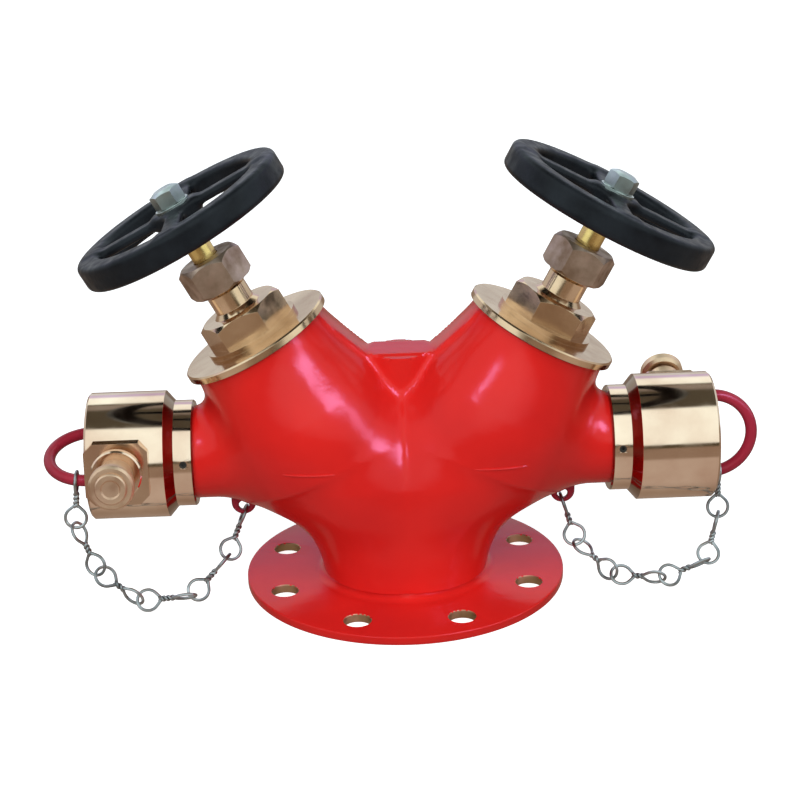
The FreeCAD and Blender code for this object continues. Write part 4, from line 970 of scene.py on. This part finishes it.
def chain_ends(size, casting, side):
    """Middle of the cap's rod and of the bar under the ear's hole, with half the bar's diagonal."""
    station = size.left_station if side == "left" else size.right_station
    turn = size.left_turn if side == "left" else size.right_turn
    reach = math.sqrt(size.cap_loop ** 2 - (station - size.loop_start) ** 2)
    rod_middle = Vector((station * SIDES[side], reach * math.sin(turn) * SIDES[side],
                         casting.outlet_height - reach * math.cos(turn)))
    top = casting.ear_height - casting.ear_hole_drop - casting.ear_hole
    bottom = casting.ear_height - casting.ear
    bar = Vector((casting.ear_station * SIDES[side], 0, (top + bottom) / 2))
    return rod_middle, bar, math.hypot(casting.ear_thick, top - bottom) / 2


class VALVE_OT_hang_chains(bpy.types.Operator):
    """Make the two knotted wire chains that hold the blank caps"""
    bl_idname = "valve.hang_chains"
    bl_label = "Hang chains"

    def execute(self, context):
        size = context.scene.valve.chain
        colours = context.scene.valve.colours
        material = rough_metal("chain_wire", colours.chain, colours.chain_dull,
                               roughness=0.36, grain=500, depth=0.03)
        for side in SIDES:
            cap_rod, ear_bar, bar_radius = chain_ends(size, context.scene.valve.casting, side)
            joints = [Vector(joint) * MM for joint in CHAIN_JOINTS[side]]
            first = hung_from(size, cap_rod, size.cap_rod, joints[0])
            last = hung_from(size, ear_bar, bar_radius, joints[-1])
            joints = [first] + joints + [last]
            count = len(joints) - 1
            bm = bmesh.new()
            for number in range(count):
                first_loop = size.end_loop if number == 0 else size.loop
                last_loop = size.end_loop if number == count - 1 else size.loop
                roll = math.pi / 2 * number / (count - 1)
                chain_link(bm, size, joints[number], joints[number + 1], roll, first_loop, last_loop)
            piece = new_piece(f"{side}_wire_chain", bm, [material])
            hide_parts(f"{side}_chain")
            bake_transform(piece)
        return {"FINISHED"}


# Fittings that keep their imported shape

class VALVE_OT_finish_bonnets(bpy.types.Operator):
    """Finish the bonnets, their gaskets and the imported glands"""
    bl_idname = "valve.finish_bonnets"
    bl_label = "Finish bonnets and glands"

    def execute(self, context):
        colours = context.scene.valve.colours
        tilt = context.scene.valve.casting.head_tilt
        fibre = soft_stuff("gasket_fibre", colours.fibre, colours.fibre_dark,
                           roughness=0.8, grain=300, depth=0.1)
        rope = soft_stuff("packing_rope", colours.rope, colours.rope_dark,
                          roughness=0.8, grain=400, depth=0.3)
        dull = rough_metal("dull_bronze", colours.dull_bronze, colours.dull_brown,
                           roughness=0.42, grain=180, depth=0.1)
        for side in SIDES:
            axis = on_head(side, tilt)
            bronze = turned_metal(f"{side}_bronze", colours.bronze, colours.bronze_brown, axis,
                                  roughness=0.16, marks=0.015)
            brass = turned_metal(f"{side}_gland_brass", colours.brass, colours.brass_dark, axis,
                                 roughness=0.3)
            dress(f"{side}_bonnet", bronze, edge=0.5)
            dress(f"{side}_bonnet_gasket", fibre, edge=0.2)
            dress(f"{side}_gland_packing", rope, edge=0.2)
            dress(f"{side}_gland_follower", brass, edge=0.3)
            dress(f"{side}_gland_nut", dull, edge=0.7)
        return {"FINISHED"}


class VALVE_OT_finish_spindles(bpy.types.Operator):
    """Finish the spindles, and the nuts and washers that hold the wheels"""
    bl_idname = "valve.finish_spindles"
    bl_label = "Finish spindles"

    def execute(self, context):
        colours = context.scene.valve.colours
        tilt = context.scene.valve.casting.head_tilt
        zinc = rough_metal("zinc_plate", colours.zinc, colours.zinc_dull,
                           roughness=0.38, grain=260, depth=0.05)
        for side in SIDES:
            axis = on_head(side, tilt)
            brass = turned_metal(f"{side}_spindle_brass", colours.brass, colours.brass_dark, axis,
                                 roughness=0.24)
            dress(f"{side}_spindle", brass, edge=0.3)
            dress(f"{side}_wheel_washer", zinc, edge=0.3)
            dress(f"{side}_wheel_nut", zinc, edge=0.4)
        return {"FINISHED"}


class VALVE_OT_finish_seats(bpy.types.Operator):
    """Finish the seats, discs and facings inside the body"""
    bl_idname = "valve.finish_seats"
    bl_label = "Finish seats and discs"

    def execute(self, context):
        colours = context.scene.valve.colours
        tilt = context.scene.valve.casting.head_tilt
        rubber = soft_stuff("facing_rubber", colours.rubber, colours.rubber_dark,
                            roughness=0.6, grain=500, depth=0.05)
        for side in SIDES:
            axis = on_head(side, tilt)
            gunmetal = turned_metal(f"{side}_gunmetal", colours.bronze, colours.copper, axis, roughness=0.3)
            brass = turned_metal(f"{side}_nut_brass", colours.brass, colours.brass_dark, axis, roughness=0.3)
            for name in ("seat_ring", "washer_plate", "valve_disc", "disc_lock_nut"):
                dress(f"{side}_{name}", gunmetal, edge=0.3)
            dress(f"{side}_washer_nut", brass, edge=0.3)
            dress(f"{side}_seat_washer", rubber, edge=0.3)
        return {"FINISHED"}


# Where painted shade darkens a coupling: on its collar's edge by the neck, and on the cone between collar and
# shell.
SHADED_STATIONS = ((0.1400, 0.1412), (0.1530, 0.1588))


def coil_spring(side, material):
    """Copy of an imported lug spring, between its housing and the plunger, welded into one piece."""
    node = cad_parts[f"{side}_lug_spring"]
    bm = bmesh.new()
    bm.from_mesh(node.data)
    bmesh.ops.remove_doubles(bm, verts=bm.verts, dist=WELD)
    piece = new_piece(f"{side}_coil_spring", bm, [material])
    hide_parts(node.name)
    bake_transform(piece)


class VALVE_OT_finish_couplings(bpy.types.Operator):
    """Finish the outlet couplings with their seals, grub screws and release lugs"""
    bl_idname = "valve.finish_couplings"
    bl_label = "Finish couplings and lugs"

    def execute(self, context):
        colours = context.scene.valve.colours
        height = context.scene.valve.casting.outlet_height
        rubber = soft_stuff("seal_rubber", colours.rubber, colours.rubber_dark,
                            roughness=0.55, grain=500, depth=0.05)
        dark = rough_metal("dark_steel", colours.dark_steel, colours.dark_steel_dull, roughness=0.45)
        spring = rough_metal("spring_wire", colours.spring, colours.spring_dull, roughness=0.3)
        for side in SIDES:
            axis = on_outlet(side, height)
            # The coupling's corners get painted shade in dark belts.
            polished = turned_metal(f"{side}_polished_bronze", colours.pale_bronze, colours.copper, axis,
                                    roughness=0.1, marks=0.008, belts=SHADED_STATIONS,
                                    painted_shade=colours.corner_shade)
            dull = turned_metal(f"{side}_lug_bronze", colours.bronze, colours.copper, axis, roughness=0.4)
            dress(f"{side}_coupling", polished, edge=0.5)
            dress(f"{side}_coupling_screw", dark, edge=0.2)
            dress(f"{side}_coupling_seal", rubber, edge=0.3)
            dress(f"{side}_lug_housing", dull, edge=0.4)
            dress(f"{side}_lug_plunger", dull, edge=0.3)
            dress(f"{side}_lug_knob", dull, edge=0.4)
            coil_spring(side, spring)
        return {"FINISHED"}


class VALVE_OT_finish_caps(bpy.types.Operator):
    """Finish the blank caps and their loop handles"""
    bl_idname = "valve.finish_caps"
    bl_label = "Finish blank caps"

    def execute(self, context):
        colours = context.scene.valve.colours
        maroon = enamel("maroon_enamel", colours.maroon, colours.maroon_deep, roughness=0.28)
        for side in SIDES:
            dress(f"{side}_blank_cap", maroon, edge=0.5)
        return {"FINISHED"}


# Stage

# Tones of the surroundings, and the belts of them that stand before and behind the valve.  A belt's edge is
# given by the height of its direction, from straight down at -1 to straight up at 1.
WARM = (0.58, 0.52, 0.48)
BROWN = (0.34, 0.27, 0.22)
DUSK = (0.09, 0.08, 0.05)
NIGHT = (0.09, 0.085, 0.065)
GREY = (0.30, 0.29, 0.28)
PALE = (0.74, 0.80, 0.84)
LILAC = (0.72, 0.68, 1.05)
WHITE = (1.2, 1.4, 1.45)
FRONT_BELTS = ((-0.42, WARM), (-0.36, BROWN), (-0.06, BROWN), (-0.03, DUSK), (0.05, DUSK), (0.09, WHITE),
               (0.92, WHITE), (0.94, NIGHT))
BACK_BELTS = ((-0.25, BROWN), (-0.02, BROWN), (0.05, PALE), (0.24, PALE), (0.29, LILAC), (0.42, LILAC),
              (0.52, WHITE), (0.76, WHITE), (0.80, DUSK), (0.83, GREY), (0.90, GREY), (0.94, NIGHT))
# Half the depth over which the front belts pass into the back ones.
BELT_MIX = 0.35


def studio_world(studio):
    """Bright and dark belts all round for the metal to mirror; matt surfaces see them dimmed."""
    world = bpy.data.worlds.new("studio")
    bpy.context.scene.world = world
    world.use_nodes = True
    world.cycles.sampling_method = "NONE"
    tree = world.node_tree
    way = add_node(tree, "TexCoord", {})
    parts = add_node(tree, "SeparateXYZ", {"Vector": way.outputs["Generated"]})
    height = add_node(tree, "MapRange", {"Value": parts.outputs["Z"], "From Min": -1})
    tones = []
    for belts in (FRONT_BELTS, BACK_BELTS):
        stops = [((edge + 1) / 2, tone) for edge, tone in belts]
        tones.append(colour_ramp(tree, height.outputs["Result"], stops))
    inputs = {"Value": parts.outputs["Y"], "From Min": -BELT_MIX, "From Max": BELT_MIX}
    depth = add_node(tree, "MapRange", inputs, interpolation_type="SMOOTHSTEP")
    mix = add_node(tree, "MixRGB", {"Fac": depth.outputs["Result"], "Color1": tones[0], "Color2": tones[1]})
    path = add_node(tree, "LightPath", {})
    inputs = {"Value": path.outputs["Is Diffuse Ray"], "To Min": studio.sky, "To Max": studio.ambient}
    strength = add_node(tree, "MapRange", inputs)
    background = tree.nodes["Background"]
    tree.links.new(strength.outputs["Result"], background.inputs["Strength"])
    tree.links.new(mix.outputs["Color"], background.inputs["Color"])


def softbox(name, where, width, height, watts, aim, tint=(1, 1, 1), shines_on=None):
    """Rectangular lamp facing a point: a matt light for all, or a highlight on one collection alone."""
    lamp = bpy.data.lights.new(name, "AREA")
    lamp.shape = "RECTANGLE"
    lamp.size = width
    lamp.size_y = height
    lamp.energy = watts
    lamp.color = tint
    item = bpy.data.objects.new(name, lamp)
    bpy.context.scene.collection.objects.link(item)
    item.location = where
    item.rotation_euler = (Vector(where) - Vector(aim)).to_track_quat("Z", "Y").to_euler()
    item.visible_glossy = bool(shines_on)
    item.visible_diffuse = not shines_on
    if shines_on:
        item.light_linking.receiver_collection = shines_on


def pale_floor(studio):
    """Plain pale floor that gives off a little light of its own."""
    half = 8.0
    level = -0.2 * MM
    shade = 0.985
    bm = bmesh.new()
    corners = [(-half, -half), (half, -half), (half, half), (-half, half)]
    bm.faces.new([bm.verts.new((across, along, level)) for across, along in corners])
    finish = Finish("pale_floor", Roughness=0.6, Emission_Color=(1, 1, 1, 1),
                    Emission_Strength=studio.floor_glow)
    darker = [tone * shade for tone in studio.floor]
    finish.paint(finish.tint(finish.noise(scale=3), darker, studio.floor))
    floor = new_piece("floor", bm, [finish.material])
    floor.visible_diffuse = False
    floor.visible_glossy = False


class VALVE_OT_set_stage(bpy.types.Operator):
    """Set the floor, lights and camera"""
    bl_idname = "valve.set_stage"
    bl_label = "Set stage"

    def execute(self, context):
        scene = context.scene
        studio = scene.valve.studio
        pale_floor(studio)
        studio_world(studio)
        aim = Vector(studio.aim)
        painted = bpy.data.collections.new("painted")
        for name in ("cast_body", "left_blank_cap", "right_blank_cap"):
            painted.objects.link(bpy.data.objects[name])
        softbox("key_softbox", (-0.15, -0.95, 1.75), width=1.1, height=0.7, watts=studio.key, aim=aim)
        softbox("front_fill", (-0.1, -1.7, 1.0), width=1.4, height=1.0, watts=studio.fill, aim=aim)
        for name, where, width, height, watts in (
                ("right_panel", (1.05, -1.25, 1.20), 0.85, 0.45, studio.right_panel),
                ("low_panel", (1.25, -0.80, 0.66), 0.35, 0.35, studio.low_panel),
                ("crease_panel", (1.45, -0.35, 0.30), 0.30, 0.30, studio.crease_panel),
                ("left_panel", (-0.72, -1.30, 1.27), 0.22, 0.13, studio.left_panel)):
            softbox(name, where, width, height, watts, aim, studio.panel_tint, painted)
        lens = bpy.data.cameras.new("camera")
        lens.lens = studio.lens
        lens.sensor_width = studio.sensor
        lens.shift_y = studio.shift
        camera = bpy.data.objects.new("camera", lens)
        scene.collection.objects.link(camera)
        sight = Vector(studio.camera) - aim
        turn = sight.to_track_quat("Z", "Y").to_matrix() @ Matrix.Rotation(studio.roll, 3, "Z")
        camera.location = studio.camera
        camera.rotation_euler = turn.to_euler()
        scene.camera = camera
        scene.view_settings.view_transform = "Standard"
        return {"FINISHED"}


# Panel and registration

OPERATORS = (
    VALVE_OT_cast_body, VALVE_OT_cast_wheels, VALVE_OT_hang_chains, VALVE_OT_finish_bonnets,
    VALVE_OT_finish_spindles, VALVE_OT_finish_seats, VALVE_OT_finish_couplings, VALVE_OT_finish_caps,
    VALVE_OT_set_stage,
)


class VALVE_PT_sidebar(bpy.types.Panel):
    """Lists the steps and settings of the valve"""
    bl_idname = "VALVE_PT_sidebar"
    bl_label = "Double hydrant valve"
    bl_space_type = "VIEW_3D"
    bl_region_type = "UI"
    bl_category = "Valve"

    def draw(self, context):
        layout = self.layout
        for step in OPERATORS:
            layout.operator(step.bl_idname)
        for group in (context.scene.valve.casting, context.scene.valve.wheel, context.scene.valve.chain,
                      context.scene.valve.colours, context.scene.valve.studio):
            box = layout.box()
            for name in group.__annotations__:
                box.prop(group, name)


CLASSES = (CastingSizes, WheelSizes, ChainSizes, FinishColours, StudioSettings, ValveSettings,
           *OPERATORS, VALVE_PT_sidebar)


def register():
    for item in CLASSES:
        bpy.utils.register_class(item)
    bpy.types.Scene.valve = PointerProperty(type=ValveSettings)


def unregister():
    del bpy.types.Scene.valve
    for item in reversed(CLASSES):
        bpy.utils.unregister_class(item)


def main():
    register()
    bpy.ops.valve.cast_body()
    bpy.ops.valve.cast_wheels()
    bpy.ops.valve.hang_chains()
    bpy.ops.valve.finish_bonnets()
    bpy.ops.valve.finish_spindles()
    bpy.ops.valve.finish_seats()
    bpy.ops.valve.finish_couplings()
    bpy.ops.valve.finish_caps()
    bpy.ops.valve.set_stage()


if __name__ == "__main__":
    main()
